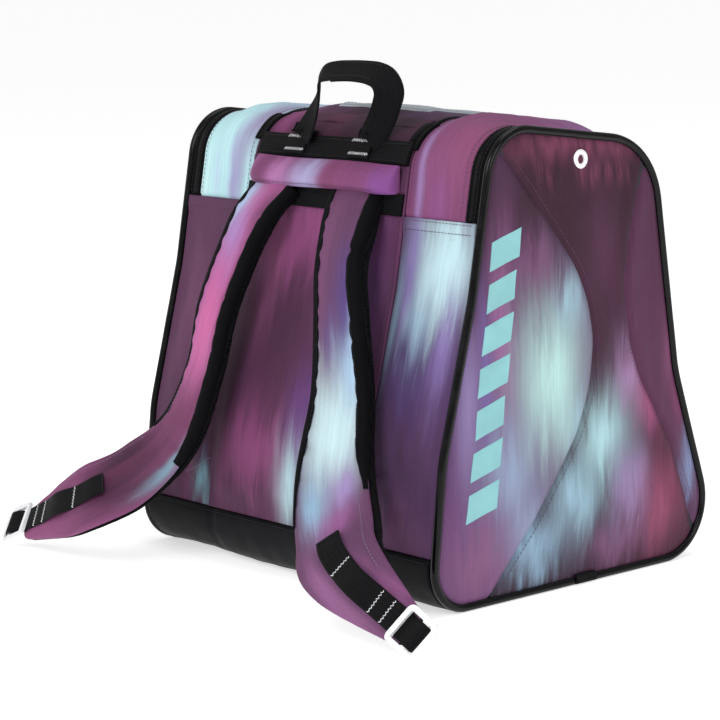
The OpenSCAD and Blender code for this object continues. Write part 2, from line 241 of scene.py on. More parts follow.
POD_TOP = {
    "right": painted("#80466d", [
        (126, 372, 7, 60, "#a58cc4", 0.7), (115, 400, 6, 50, "#6a3f68", 0.7),
        (150, 352, 10, 30, "#8f5590", 0.6),
        (170, 430, 20, 60, "#8c4c70", 0.7), (140, 470, 40, 40, "#6f4068", 0.6),
        (150, 620, 60, 90, "#8a6aa0", 0.7)]),
    "left": painted("#b6dfe4", [
        (-130, 360, 9, 50, "#9c8ec0", 0.85), (-185, 350, 10, 40, "#cdeeee", 0.8),
                                (-160, 352, 6, 30, "#b3bfe0", 0.6),
        (-118, 430, 14, 50, "#8a6c9c", 0.8), (-160, 490, 40, 30, "#8b86b2", 0.8),
                                (-150, 620, 60, 90, "#7a4c78", 0.8)])}
FRONT = painted("#5b3557", [
    (-60, 230, 60, 60, "#a2588e", 0.8), (40, 170, 40, 70, "#a9cfdc", 0.8), (80, 260, 40, 40, "#7d5a9a", 0.8),
    (-20, 90, 60, 40, "#6a3f62", 0.8), (150, 240, 40, 60, "#8c4c78", 0.8),
                            (-150, 150, 40, 60, "#8f86ba", 0.8),
    (140, 110, 40, 40, "#7fa6c0", 0.7)])
YOKE = painted("#7f4470", [
    (-98, 366, 14, 30, "#b070a2", 0.9), (-74, 366, 12, 30, "#6d3b5e", 0.8),
                           (-44, 366, 16, 30, "#ac74a6", 0.9),
    (-8, 366, 18, 30, "#a8a4cc", 0.95), (26, 366, 14, 30, "#7c3f64", 0.9),
                           (90, 366, 14, 30, "#824b90", 0.9)])
HINGE = painted("#3f2036", [
    (-84, 440, 20, 60, "#84406f", 0.9), (-22, 440, 16, 40, "#6d2f56", 0.7),
                            (50, 430, 50, 40, "#2d1829", 0.8)])
LID = painted("#3a2133", [
    (-78, 470, 18, 60, "#7c4670", 0.9), (-40, 440, 24, 30, "#54304c", 0.8),
                          (70, 470, 26, 50, "#53395a", 0.7),
    (20, 560, 60, 40, "#8d5484", 0.8), (-30, 640, 60, 50, "#a6c8d8", 0.8),
                          (60, 650, 40, 60, "#7a4c78", 0.8)])
STRAP = {
    "right": painted("#623c5c", [
        (-14, 1.6, 9, 1.4, "#7a4a70", 0.6), (16, 2.7, 11, 1.1, "#53427e", 0.85),
        (-4, 3.2, 8, 0.5, "#5c4a86", 0.6),
        (2, 4.55, 30, 0.85, "#c6e3e8", 0.97), (18, 3.6, 11, 0.5, "#a9c9e4", 0.9),
        (-16, 5.7, 13, 0.5, "#94bcd8", 0.85),
        (16, 5.5, 12, 0.42, "#a48cc4", 0.85), (4, 6.15, 20, 0.34, "#9c5e96", 0.85),
        (0, 7.2, 34, 0.6, "#5e3c5c", 0.9),
        (-24, 7.2, 9, 0.6, "#96618f", 0.8), (18, 7.7, 9, 0.3, "#8a5080", 0.8),
        # The narrow dark line at a 1.5 follows the strap's middle groove: painted shade in the groove.
        (1.5, 2.0, 1.3, 2.3, "#3d2339", 0.6)], (1.5, 0.15), 50.0),
    "left": painted("#ad5f94", [
        (17, 0.7, 13, 0.9, "#a9bede", 0.95), (2, 1.6, 12, 0.6, "#a284be", 0.85),
                                (-20, 0.7, 9, 0.7, "#66395a", 0.85),
        (4, 3.3, 20, 0.9, "#c6669e", 0.95), (-18, 2.6, 6, 1.3, "#7c4068", 0.8),
                                (20, 2.6, 6, 0.9, "#8d5590", 0.7),
        (-4, 4.6, 34, 0.42, "#84406a", 0.9), (4, 6.1, 60, 1.45, "#2d1727", 0.97),
                                (-14, 5.3, 6, 0.9, "#713a5e", 0.7),
        (8, 6.3, 5, 1.0, "#6f3558", 0.75), (6, 7.75, 40, 0.36, "#7f4469", 0.9),
                                (-30, 5.5, 7, 0.5, "#7fb2c4", 0.7)],
        (3.0, 0.15), 50.0)}
END = {
    "rear": painted("#623f6a", [
        (-80, 346, 84, 88, "#371d2e", 1.0), (-42, 196, 40, 66, "#b6ddd8", 1.0),
                                (-20, 262, 18, 22, "#9cc0d0", 0.8),
        (-98, 252, 12, 76, "#a0689a", 0.7), (-142, 186, 12, 74, "#8f7fae", 0.8),
                                (-96, 120, 26, 44, "#98acc8", 0.8),
        (-130, 42, 44, 40, "#84587e", 0.95), (-64, 296, 30, 24, "#7a4c73", 0.8),
                                (-4, 146, 22, 24, "#a2c6d4", 0.8),
        (-70, 60, 24, 30, "#9db2cc", 0.6), (-120, 210, 8, 60, "#7d6db0", 0.6)], (4.0, 5.0), 1.0, 2.1),
    "mid": painted("#371b2c", [
        (10, 396, 100, 13, "#83425f", 0.85), (58, 190, 26, 34, "#a782ad", 0.9),
                               (84, 160, 18, 26, "#a04c78", 0.9), (78, 236, 22, 36, "#6a3a58", 0.8),
        (24, 130, 30, 34, "#aed6dd", 0.97), (-16, 84, 30, 28, "#9fc4d6", 0.92),
                               (-62, 44, 38, 24, "#93b4cc", 0.9),
        (60, 86, 22, 30, "#a08cba", 0.85), (100, 62, 34, 44, "#924868", 0.95),
                               (40, 34, 36, 18, "#82587e", 0.8),
        (20, 300, 26, 60, "#56304a", 0.7)], (4.0, 5.0), 1.0, 2.1),
    "front": painted("#58304c", [
        (112, 330, 26, 70, "#42283a", 0.95), (118, 214, 12, 40, "#8d5278", 0.85),
        (138, 96, 8, 40, "#8a9cc4", 0.85),
        (150, 36, 20, 30, "#5f3d5c", 0.9), (126, 150, 8, 24, "#814368", 0.8)],
        (4.0, 5.0), 1.0, 2.1)}


# ---------------------------------------------------------------- materials
class Shader:
    """A small helper that builds one node material."""

    def __init__(self, name):
        self.mat = bpy.data.materials.new(name)
        self.mat.use_nodes = True
        self.nt = self.mat.node_tree
        self.p = self.nt.nodes["Principled BSDF"]

    def node(self, kind, **props):
        n = self.nt.nodes.new(kind)
        for k, v in props.items():
            setattr(n, k, v)
        return n

    def put(self, socket, value):
        if isinstance(value, bpy.types.NodeSocket):
            self.nt.links.new(value, socket)
        elif isinstance(value, (tuple, list, np.ndarray)) and len(value) == 3 and socket.type == "RGBA":
            socket.default_value = (*[float(x) for x in value], 1)
        else:
            socket.default_value = value

    def math(self, op, a, b=None):
        n = self.node("ShaderNodeMath", operation=op)
        for s, v in zip(n.inputs, (a, b)):
            if v is not None:
                self.put(s, v)
        return n.outputs[0]

    def attr(self, name, part="Vector"):
        return self.node("ShaderNodeAttribute", attribute_name=name).outputs[part]

    def parts(self, vector):
        n = self.node("ShaderNodeSeparateXYZ")
        self.put(n.inputs[0], vector)
        return n.outputs

    def join(self, x, y, z=0.0):
        n = self.node("ShaderNodeCombineXYZ")
        for s, v in zip(n.inputs, (x, y, z)):
            self.put(s, v)
        return n.outputs[0]

    def noise(self, vector, scale, detail=3.0, rough=0.55):
        n = self.node("ShaderNodeTexNoise")
        self.put(n.inputs["Vector"], vector)
        self.put(n.inputs["Scale"], scale)
        self.put(n.inputs["Detail"], detail)
        self.put(n.inputs["Roughness"], rough)
        return n.outputs["Fac"]

    def ramp(self, v, a, b, lo=0.0, hi=1.0):
        n = self.node("ShaderNodeMapRange", interpolation_type="SMOOTHSTEP")
        for s, x in zip(n.inputs, (v, a, b, lo, hi)):
            self.put(s, x)
        return n.outputs[0]

    def mix(self, f, a, b, kind="MIX"):
        n = self.node("ShaderNodeMix", data_type="RGBA", blend_type=kind)
        for s, v in ((n.inputs[0], f), (n.inputs[6], a), (n.inputs[7], b)):
            self.put(s, v)
        return n.outputs[2]

    def wave(self, x, period):
        return self.math("SINE", self.math("MULTIPLY", x, 2 * math.pi / period))

    def bump(self, height, distance, strength=1.0):
        n = self.node("ShaderNodeBump")
        self.put(n.inputs["Strength"], strength)
        self.put(n.inputs["Distance"], distance)
        self.put(n.inputs["Height"], height)
        return n.outputs[0]

    def done(self, **values):
        for k, v in values.items():
            self.put(self.p.inputs[k.replace("_", " ")], v)
        return self.mat


def grey(s, value):
    """One value as a grey colour."""
    return s.join(value, value, value)


def make_print():
    """Printed woven cloth: three tints mixed along its streaks, under a fine twill whose low lines are
    painted darker as painted shade.
    """
    s = Shader("print_fabric")
    u, v, _ = s.parts(s.attr("cloth"))
    soft = s.noise(s.join(s.math("MULTIPLY", u, 0.11), s.math("MULTIPLY", v, 0.012), 3.0), 1.0, 4.0, 0.6)
    hair = s.noise(s.join(s.math("MULTIPLY", u, 0.42), s.math("MULTIPLY", v, 0.016), 9.0), 1.0, 3.0, 0.6)
    col = s.mix(s.ramp(soft, 0.42, 0.72, 0.0, 0.85), s.attr("tint_a", "Color"), s.attr("tint_b", "Color"))
    col = s.mix(s.ramp(hair, 0.45, 0.75, 0.0, 0.38), col, s.attr("tint_c", "Color"))
    shade = s.noise(s.join(s.math("MULTIPLY", u, 0.3), s.math("MULTIPLY", v, 0.01), 21.0), 1.0, 3.0, 0.6)
    col = s.mix(1.0, col, grey(s, s.ramp(shade, 0.25, 0.75, 0.92, 1.07)), "MULTIPLY")
    twill = s.wave(s.math("ADD", u, v), 1.9)
    cross = s.wave(s.math("SUBTRACT", u, v), 1.9)
    weave = s.math("ADD", s.math("MULTIPLY", twill, 0.65), s.math("MULTIPLY", cross, 0.35))
    fuzz = s.noise(s.attr("cloth"), 0.9, 2.0)
    # The twill's low lines are painted darker here: painted shade in the weave, on top of its bump.
    col = s.mix(1.0, col, grey(s, s.math("ADD", s.math("MULTIPLY", weave, 0.055), 0.985)), "MULTIPLY")
    h = s.math("ADD", weave, s.math("MULTIPLY", fuzz, 1.2))
    return s.done(Base_Color=col, Roughness=s.ramp(fuzz, 0.3, 0.7, 0.55, 0.68),
                  Normal=s.bump(h, 0.00022, 0.55), Sheen_Weight=0.02, Sheen_Roughness=0.4,
                  Specular_IOR_Level=0.2)


def make_plain(name, colour, rough=0.6, period=1.2, depth=0.0002, sheen=0.03, spread=0.12, shine=0.3):
    """A woven cloth in one colour: two thread directions with painted shade between the threads, fuzz, and
    uneven dye.
    """
    s = Shader(name)
    u, v, _ = s.parts(s.attr("cloth"))
    weave = s.math("MULTIPLY", s.wave(u, period), s.wave(v, period))
    dye = s.noise(s.attr("cloth"), 0.035, 4.0)
    fuzz = s.noise(s.attr("cloth"), 1.1, 2.0)
    c = lin(colour)
    col = s.mix(s.ramp(dye, 0.3, 0.7), tuple(c * (1 - spread)), tuple(c * (1 + spread)))
    # The weave's low parts are painted darker: painted shade between the threads, on top of the bump.
    col = s.mix(1.0, col, grey(s, s.math("ADD", s.math("MULTIPLY", weave, 0.1), 0.95)), "MULTIPLY")
    return s.done(Base_Color=col, Roughness=s.ramp(fuzz, 0.3, 0.7, rough - 0.06, rough + 0.08),
                  Normal=s.bump(s.math("ADD", weave, fuzz), depth, 0.6), Sheen_Weight=sheen,
                  Specular_IOR_Level=shine)


def make_webbing():
    """The node material of black webbing, its ribs painted lighter on top and darker between them as painted
    shade.
    """
    s = Shader("webbing")
    u, v, _ = s.parts(s.attr("cloth"))
    fold = s.math("ABSOLUTE", s.math("SUBTRACT", s.math("MODULO", s.math("ADD", u, 200.0), 5.0), 2.5))
    rib = s.wave(s.math("ADD", v, s.math("MULTIPLY", fold, 0.9)), 1.7)
    lane = s.wave(u, 2.5)
    fuzz = s.noise(s.attr("cloth"), 0.8, 3.0)
    h = s.math("ADD", s.math("ADD", rib, s.math("MULTIPLY", lane, 0.5)), fuzz)
    # Colour follows the rib height: painted shade between the ribs, painted highlight on their tops.
    col = s.mix(s.ramp(h, -1.2, 2.2), (0.0022, 0.0022, 0.0027), (0.0095, 0.0092, 0.0108))
    return s.done(Base_Color=col, Roughness=s.ramp(fuzz, 0.3, 0.7, 0.45, 0.62),
                  Normal=s.bump(h, 0.00035, 0.7), Sheen_Weight=0.01, Specular_IOR_Level=0.06)


def make_mesh():
    """The node material of the mesh under the straps, with painted shade in its holes."""
    s = Shader("air_mesh")
    u, v, _ = s.parts(s.attr("cloth"))
    n = s.node("ShaderNodeTexVoronoi", feature="F1")
    s.put(n.inputs["Vector"], s.join(u, s.math("MULTIPLY", v, 0.8)))
    s.put(n.inputs["Scale"], 0.42)
    s.put(n.inputs["Randomness"], 0.25)
    hole = s.ramp(n.outputs["Distance"], 0.22, 0.5)
    fuzz = s.noise(s.attr("cloth"), 1.4, 2.0)
    # The holes are painted darker than the threads: painted shade in the holes.
    col = s.mix(hole, (0.0012, 0.001, 0.0015), (0.0058, 0.0054, 0.0066))
    return s.done(Base_Color=col, Roughness=s.ramp(fuzz, 0.3, 0.7, 0.65, 0.8),
                  Normal=s.bump(hole, 0.0006, 0.8), Sheen_Weight=0.01, Specular_IOR_Level=0.04)


def make_coated(name, colour, rough, grain=0.5, depth=0.00012, coat=0.0, shine=0.3):
    """A smooth coated or moulded surface with a fine pebble, scuffs and uneven shine."""
    s = Shader(name)
    pos = s.attr("cloth")
    pebble = s.noise(pos, grain, 3.0)
    scuff = s.noise(pos, 0.05, 5.0, 0.7)
    c = lin(colour)
    col = s.mix(s.ramp(scuff, 0.45, 0.75), tuple(c), tuple(c * 1.5 + 0.002))
    return s.done(Base_Color=col, Roughness=s.ramp(scuff, 0.3, 0.8, rough - 0.07, rough + 0.12),
                  Normal=s.bump(pebble, depth, 0.6), Coat_Weight=coat, Coat_Roughness=0.25,
                  Specular_IOR_Level=shine)


def make_hard(name, colour, rough, metal=0.0, chip="#8a8a8c"):
    """Painted or plated metal: fine orange peel, rubbed edges and light scratches, in object space."""
    s = Shader(name)
    pos = s.node("ShaderNodeTexCoord").outputs["Object"]
    peel = s.noise(pos, 900.0, 2.0)
    scratch = s.noise(pos, 160.0, 5.0, 0.75)
    edge = s.node("ShaderNodeNewGeometry").outputs["Pointiness"]
    rub = s.math("MULTIPLY", s.ramp(edge, 0.52, 0.6), s.ramp(scratch, 0.45, 0.7))
    col = s.mix(s.math("MULTIPLY", rub, 0.5), tuple(lin(colour)), tuple(lin(chip)))
    return s.done(Base_Color=col, Metallic=metal,
                  Roughness=s.ramp(scratch, 0.3, 0.8, rough - 0.05, rough + 0.15),
                  Normal=s.bump(peel, 0.00004, 0.5))


MATERIALS = {
    "print": make_print(),
    "webbing": make_webbing(),
    "mesh": make_mesh(),
    "binding": make_plain("binding_tape", "#0b0b0e", 0.6, 1.1, 0.0002, 0.01, 0.12, 0.05),
    "lining": make_plain("lining_cloth", "#34343c", 0.7, 0.9, 0.00015),
    "quilt": make_plain("quilted_lining", "#2a2a32", 0.72, 1.0, 0.0002),
    "tape": make_plain("zip_tape_cloth", "#0b0b0d", 0.6, 0.8, 0.0002, 0.01, 0.12, 0.05),
    "tray": make_coated("coated_cloth", "#0d0e11", 0.48, 0.8, 0.00018, 0.0, 0.07),
    "piping": make_coated("piping_vinyl", "#070709", 0.2, 0.5, 0.00006, 0.0, 0.2),
    "board": make_coated("base_board_plastic", "#26272c", 0.5, 1.2, 0.0002),
    "patch": make_plain("grey_patch_cloth", "#a2aab2", 0.5, 1.0, 0.00012, 0.03, 0.05),
    "teal": make_plain("graphic_ink", "#8ac3c8", 0.5, 1.9, 0.00015, 0.02, 0.06),
    "thread_white": make_plain("thread_white", "#e9e9ec", 0.6, 0.6, 0.0001, 0.05, 0.04),
    "thread_plum": make_plain("thread_plum", "#5d4058", 0.6, 0.6, 0.0001, 0.05, 0.06),
    "thread_grey": make_plain("thread_grey", "#8d8a98", 0.6, 0.6, 0.0001, 0.05, 0.06),
    "thread_black": make_plain("thread_black", "#1c1c20", 0.6, 0.6, 0.0001, 0.05, 0.06),
    "coil": make_coated("zip_coil_nylon", "#0f0f12", 0.34, 2.0, 0.00005, 0.0, 0.16),
    "zip_metal": make_hard("zip_metal_dark", "#2c2c30", 0.34, 0.9, "#6a6a6e"),
    "white_metal": make_hard("eyelet_enamel", "#f2f2f3", 0.3, 0.0, "#b9bcc0"),
    "white_hook": make_hard("hook_enamel", "#f0f1f3", 0.28, 0.0, "#b9bcc0"),
}


# ---------------------------------------------------------------- mesh building, points in mm
def make_piece(name, verts, faces, body, mats, cloth=None, field=None, coords=None, index=None,
               sharp=50, blend=None):
    """One mesh piece with its materials and attributes, tied to its body; a piece given blend is left in
    place, untied.
    """
    me = bpy.data.meshes.new(name)
    me.from_pydata((np.asarray(verts, float) * MM).tolist(), [], faces)
    for m in mats:
        me.materials.append(MATERIALS[m])
    if index is not None:
        me.polygons.foreach_set("material_index", np.asarray(index, np.int32))
    me.polygons.foreach_set("use_smooth", np.ones(len(faces), bool))
    me.set_sharp_from_angle(angle=math.radians(sharp))
    cloth = np.asarray(verts if cloth is None else cloth, np.float32)
    if cloth.shape[1] == 2:
        cloth = np.c_[cloth, np.zeros(len(cloth), np.float32)]
    me.attributes.new("cloth", "FLOAT_VECTOR", "POINT").data.foreach_set("vector",
        cloth.astype(np.float32).ravel())
    if field is not None:
        a, b, shift = coords
        for tag, d in (("tint_a", 0.0), ("tint_b", shift), ("tint_c", -0.8 * shift)):
            c = np.clip(field(a, b + d), 0, 1)
            col = np.c_[c, np.ones(len(c))].astype(np.float32)
            me.attributes.new(tag, "FLOAT_COLOR", "POINT").data.foreach_set("color", col.ravel())
    me.update()
    o = bpy.data.objects.new(name, me)
    bpy.context.scene.collection.objects.link(o)
    if blend:
        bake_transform(o)
    else:
        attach(o, body)
    return o


def quads(nu, nv, base=0, flip=False):
    """Faces of a grid of nu by nv points."""
    i, j = np.meshgrid(np.arange(nu - 1), np.arange(nv - 1), indexing="ij")
    a = base + i * nv + j
    f = np.stack([a, a + nv, a + nv + 1, a + 1], -1).reshape(-1, 4)
    return f[:, ::-1] if flip else f


def border(nu, nv):
    """Indices of the points round a grid, in order."""
    return np.r_[np.arange(nv), np.arange(2 * nv - 1, nu * nv, nv)[:nu - 1],
                 np.arange(nu * nv - 2, (nu - 1) * nv - 1, -1), np.arange((nu - 2) * nv, 0, -nv)]


def panel(name, outer, inner, body, mats, cloth, field=None, coords=None, replaces=(), blend=None):
    """A closed sheet from two grids of points; its inner face takes the second material."""
    nu, nv = outer.shape[:2]
    n = nu * nv
    verts = np.concatenate([outer.reshape(-1, 3), inner.reshape(-1, 3)])
    loop = border(nu, nv)
    nxt = np.roll(loop, -1)
    rim = np.stack([loop, nxt, nxt + n, loop + n], 1)
    fo, fi = quads(nu, nv), quads(nu, nv, n, True)
    mid = (nu // 2) * nv + nv // 2
    a, b, c = (outer.reshape(-1, 3)[k] for k in (mid, mid + nv, mid + 1))
    if np.cross(b - a, c - a) @ (outer.reshape(-1, 3)[mid] - inner.reshape(-1, 3)[mid]) < 0:
        fo, fi = fo[:, ::-1], fi[:, ::-1]
    else:
        rim = rim[:, ::-1]
    faces = np.concatenate([fo, fi, rim]).tolist()
    index = np.r_[np.zeros(len(fo)), np.full(len(fi), min(1, len(mats) - 1)), np.zeros(len(rim))]
    two = lambda g: np.concatenate([g.reshape(n, -1), g.reshape(n, -1)])
    if field is not None:
        ca, cb, shift = coords
        coords = (two(ca)[:, 0], two(cb)[:, 0], shift)
    o = make_piece(name, verts, faces, body, mats, two(cloth), field, coords, index,
                   blend=blend)
    if replaces:
        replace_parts(o, *replaces)
    return o


def sweep(name, rings, body, mats, cloth, field=None, coords=None, closed=False, replaces=(),
          blend=None, sharp=50):
    """A closed tube through rings of equal point count; the ends are capped unless the path is closed."""
    n, k = rings.shape[:2]
    verts = rings.reshape(-1, 3)
    i, j = np.meshgrid(np.arange(n if closed else n - 1), np.arange(k), indexing="ij")
    a, b = i * k + j, i * k + (j + 1) % k
    c, d = ((i + 1) % n) * k + (j + 1) % k, ((i + 1) % n) * k + j
    f = np.stack([a, b, c, d], -1).reshape(-1, 4)
    centre = rings.mean(1)
    m = n // 2
    q = verts[f[m * k + k // 4]] if len(f) > m * k + k // 4 else verts[f[0]]
    if np.cross(q[1] - q[0], q[2] - q[1]) @ (q.mean(0) - (centre[m] + centre[min(m + 1, n - 1)]) / 2) < 0:
        f = f[:, ::-1]
        caps = [list(range(k)), [(n - 1) * k + x for x in range(k - 1, -1, -1)]]
    else:
        caps = [list(range(k - 1, -1, -1)), [(n - 1) * k + x for x in range(k)]]
    faces = f.tolist() + ([] if closed else caps)
    o = make_piece(name, verts, faces, body, mats, cloth.reshape(n * k, -1), field, coords, None,
                   sharp, blend)
    if replaces:
        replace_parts(o, *replaces)
    return o


class Threads:
    """Collects sewn stitches by body and colour, and makes one piece of each."""

    def __init__(self):
        self.sets = {}

    def add(self, body, colour, pts, normals, length=3.0, gap=1.3, r=0.32, lift=0.12):
        pts = np.asarray(pts, float)
        d = np.r_[0, np.cumsum(np.linalg.norm(np.diff(pts, axis=0), axis=1))]
        normals = np.broadcast_to(np.asarray(normals, float), pts.shape)
        at = lambda t, v: np.stack([np.interp(t, d, v[:, k]) for k in range(3)], 1)
        n = int((d[-1] + gap) // (length + gap))
        if n < 1:
            return
        t0 = np.arange(n) * (length + gap)
        rings = []
        for f, k, low in ((0.0, 0.35, -0.9), (0.16, 0.9, 0.0), (0.5, 1.0, 0.25), (0.84, 0.9, 0.0),
                          (1.0, 0.35, -0.9)):
            t = t0 + f * length
            p, m = at(t, pts), at(t, normals)
            m /= np.linalg.norm(m, axis=1)[:, None]
            tan = at(t0 + length, pts) - at(t0, pts)
            tan /= np.maximum(np.linalg.norm(tan, axis=1)[:, None], 1e-9)
            w = np.cross(tan, m)
            c = p + m * (lift + r * low)
            rings.append(np.stack([c + w * r * k, c + m * r * k, c - w * r * k, c - m * r * k], 1))
        self.sets.setdefault((body, colour), []).append(np.stack(rings, 1))

    def build(self):
        for (body, colour), groups in sorted(self.sets.items()):
            g = np.concatenate(groups)
            n = len(g)
            j, k = np.meshgrid(np.arange(4), np.arange(4), indexing="ij")
            f = np.stack([j * 4 + k, (j + 1) * 4 + k, (j + 1) * 4 + (k + 1) % 4, j * 4 + (k + 1) % 4],
                         -1).reshape(-1, 4)
            f = np.concatenate([f, [[3, 2, 1, 0], [16, 17, 18, 19]]])[:, ::-1]
            faces = (np.arange(n)[:, None, None] * 20 + f[None]).reshape(-1, 4)
            make_piece(f"stitching_{body}_{colour}", g.reshape(-1, 3), faces.tolist(), body,
                       ["thread_" + colour], sharp=80)


THREADS = Threads()


def boxes(name, centres, ax, ay, az, size, body, mat):
    """Many small tapered blocks as one piece: zip teeth."""
    corners = np.array([(x, y, z) for z in (-1, 1) for x, y in ((-1, -1), (1, -1), (1, 1), (-1, 1))], float)
    sx, sy, sz = (s / 2 for s in size)
    taper = 0.75
    k = np.where(corners[:, 2] > 0, taper, 1.0)
    v = (centres[:, None] + ax[:, None] * (corners[:, 0] * k * sx)[None, :, None]
         + ay[:, None] * (corners[:, 1] * k * sy)[None, :, None]
         + az[:, None] * (corners[:, 2] * sz)[None, :, None])
    f = np.array([(0, 3, 2, 1), (4, 5, 6, 7), (0, 1, 5, 4), (1, 2, 6, 5), (2, 3, 7, 6), (3, 0, 4, 7)])
    faces = (np.arange(len(centres))[:, None, None] * 8 + f[None]).reshape(-1, 4)
    return make_piece(name, v.reshape(-1, 3), faces.tolist(), body, [mat], sharp=40)


def on_shell(x, s, off):
    """Points on the shell at width x and outline distance s; the top stands a little proud in the middle."""
    y, z = OUTLINE.at(s, off)
    crown = 6.0 * smooth((y + 86) / 40) * smooth((88 - y) / 50) * smooth((z - 340) / 50)
    z = z + crown * smooth((178 - np.abs(x)) / 35)
    return np.stack([np.broadcast_to(x, np.shape(y)).astype(float), y, z], -1)


def wrap(name, x0, x1, s0, s1, off, thick, body, mats=("print", "lining"), field=None, replaces=(),
         step=3.6, roll=1.4, base=0.0, up=0.0, blend=None, inner_off=None):
    """A panel that follows the end outline between two widths and two distances along it."""
    xs, ss = spaced(x0, x1, step), spaced(s0, s1, step)
    X, S = np.meshgrid(xs, ss, indexing="ij")
    ex = np.minimum(np.abs(X - x0), np.abs(x1 - X))
    es = np.minimum(np.abs(S - s0), np.abs(s1 - S))
    d = base + off(X, S, ex, es) + edge_roll(np.minimum(ex, es), roll)
    outer = on_shell(X, S, d)
    inner = on_shell(X, S, (base if inner_off is None else inner_off) - thick + 0 * d)
    up_axis = S + up if up < 0 else up - S if up else S
    cloth = np.stack([X, up_axis], -1)
    return panel(name, outer, inner, body, mats, cloth, field,
                 (X, up_axis, TINT_SHIFT) if field else None, replaces, blend)


def top_stitch(body, colour, x0, x1, s, off, n=60, length=3.0, gap=1.3):
    """A row of stitches across the bag at outline distance s."""
    x = np.linspace(x0, x1, n)
    nrm = OUTLINE.normal(s)
    THREADS.add(body, colour, on_shell(x, np.full(n, s), off), [0, nrm[0], nrm[1]], length, gap)


def run_stitch(body, colour, x, s0, s1, off, n=120):
    """A row of stitches along the outline at width x."""
    s = np.linspace(s0, s1, n)
    nr = OUTLINE.normal(s)
    THREADS.add(body, colour, on_shell(np.full(n, x), s, off), np.c_[np.zeros(n), nr])


# ---------------------------------------------------------------- shell walls
BACK_AT = {z: OUTLINE.back(z) for z in (TRAY, HEM, BAND, BAND_TOP)}
FRONT_TRAY, FRONT_HEM, FRONT_LID = OUTLINE.front(TRAY), OUTLINE.front(HEM), OUTLINE.front(LID_Z)
TOP_LID = OUTLINE.top(LID_Y)
UP = BACK_AT[HEM] + HEM


def tray_off(X, S, ex, es):
    """Relief of the tray cloth."""
    rise = 0.9 * smooth(es / 6) + 0.5 * bell(es, 3.5, 3)
    dent = 0.9 * ripple(X, S, 120, 11) + 0.35 * ripple(X, S, 30, 12)
    seam = -1.6 * bell(X, -100, 2.4) - 1.6 * bell(X, 100, 2.4)
    return rise * 0.8 + dent * smooth(es / 25) + seam


def whole_tray():
    """The coated tray: floor and lower walls in one piece."""
    s0, s1 = BACK_AT[TRAY] - OUTLINE.length, FRONT_TRAY
    xs, ss = spaced(-SHELL_X, SHELL_X, 5), spaced(s0, s1, 4.5)
    X, S = np.meshgrid(xs, ss, indexing="ij")
    ex, es = SHELL_X - np.abs(X), np.minimum(S - s0, s1 - S)
    d = tray_off(X, S, ex, es) + edge_roll(np.minimum(ex, es), 1.4)
    W = np.mod(S, OUTLINE.length)
    outer, inner = on_shell(X, W, d), on_shell(X, W, -4.5 + 0 * d)
    outer[..., 2] = np.maximum(outer[..., 2], 0.0)
    inner[..., 2] = np.maximum(inner[..., 2], 3.5)
    panel("tray_cloth", outer, inner, "shell", ("tray", "lining"), np.stack([X, S], -1),
          replaces=("base_tray",))
    for s in (BACK_AT[TRAY] + 3.2, FRONT_TRAY - 3.2):
        top_stitch("shell", "black", -SHELL_X + 3, SHELL_X - 3, s, 1.3, 200, 3.4, 1.5)


whole_tray()


def back_off(X, S, ex, es):
    """Relief of the padded back."""
    pad = 5.0 * smooth(ex / 26) * smooth(es / 30)
    fold = 0.7 * ripple(X, S, 90, 21, 2.2) + 0.45 * ripple(X, S, 34, 22, 1.6)
    pull = -1.5 * bell(S, BACK_AT[HEM] + 20, 14) * smooth(ex / 20)
    return pad - 0.6 + fold * smooth(es / 20) * smooth(ex / 14) + pull


back = wrap("back_cloth", -MID + 0.2, MID - 0.2, BACK_AT[BAND], BACK_AT[TRAY] - GAP, back_off, 3.0,
            "shell", field=BACK, replaces=("back_panel",), up=UP)
for sx in (-1, 1):
    run_stitch("shell", "plum", sx * (MID - 4), BACK_AT[BAND] + 4, BACK_AT[TRAY] - 4, 0.6, 200)


def quilted():
    """The padded lining inside the back: it swells inwards between its crossed seams."""
    xs, ss = spaced(-MID + 2, MID - 2, 4), spaced(BACK_AT[BAND], BACK_AT[TRAY] - 1, 4)
    X, S = np.meshgrid(xs, ss, indexing="ij")
    e = np.minimum(MID - 2 - np.abs(X), np.minimum(S - ss[0], ss[-1] - S))
    cell = (np.abs(np.sin(math.pi * (X + S) / 60)) * np.abs(np.sin(math.pi * (X - S) / 60))) ** 0.45
    d = -7.0 - 5.0 * cell * smooth(e / 12) + edge_roll(e, 0.0)
    o = panel("back_lining", on_shell(X, S, d), on_shell(X, S, -3.4 + 0 * d), "shell", ("quilt",),
              np.stack([X, S], -1), replaces=("back_foam",))


quilted()

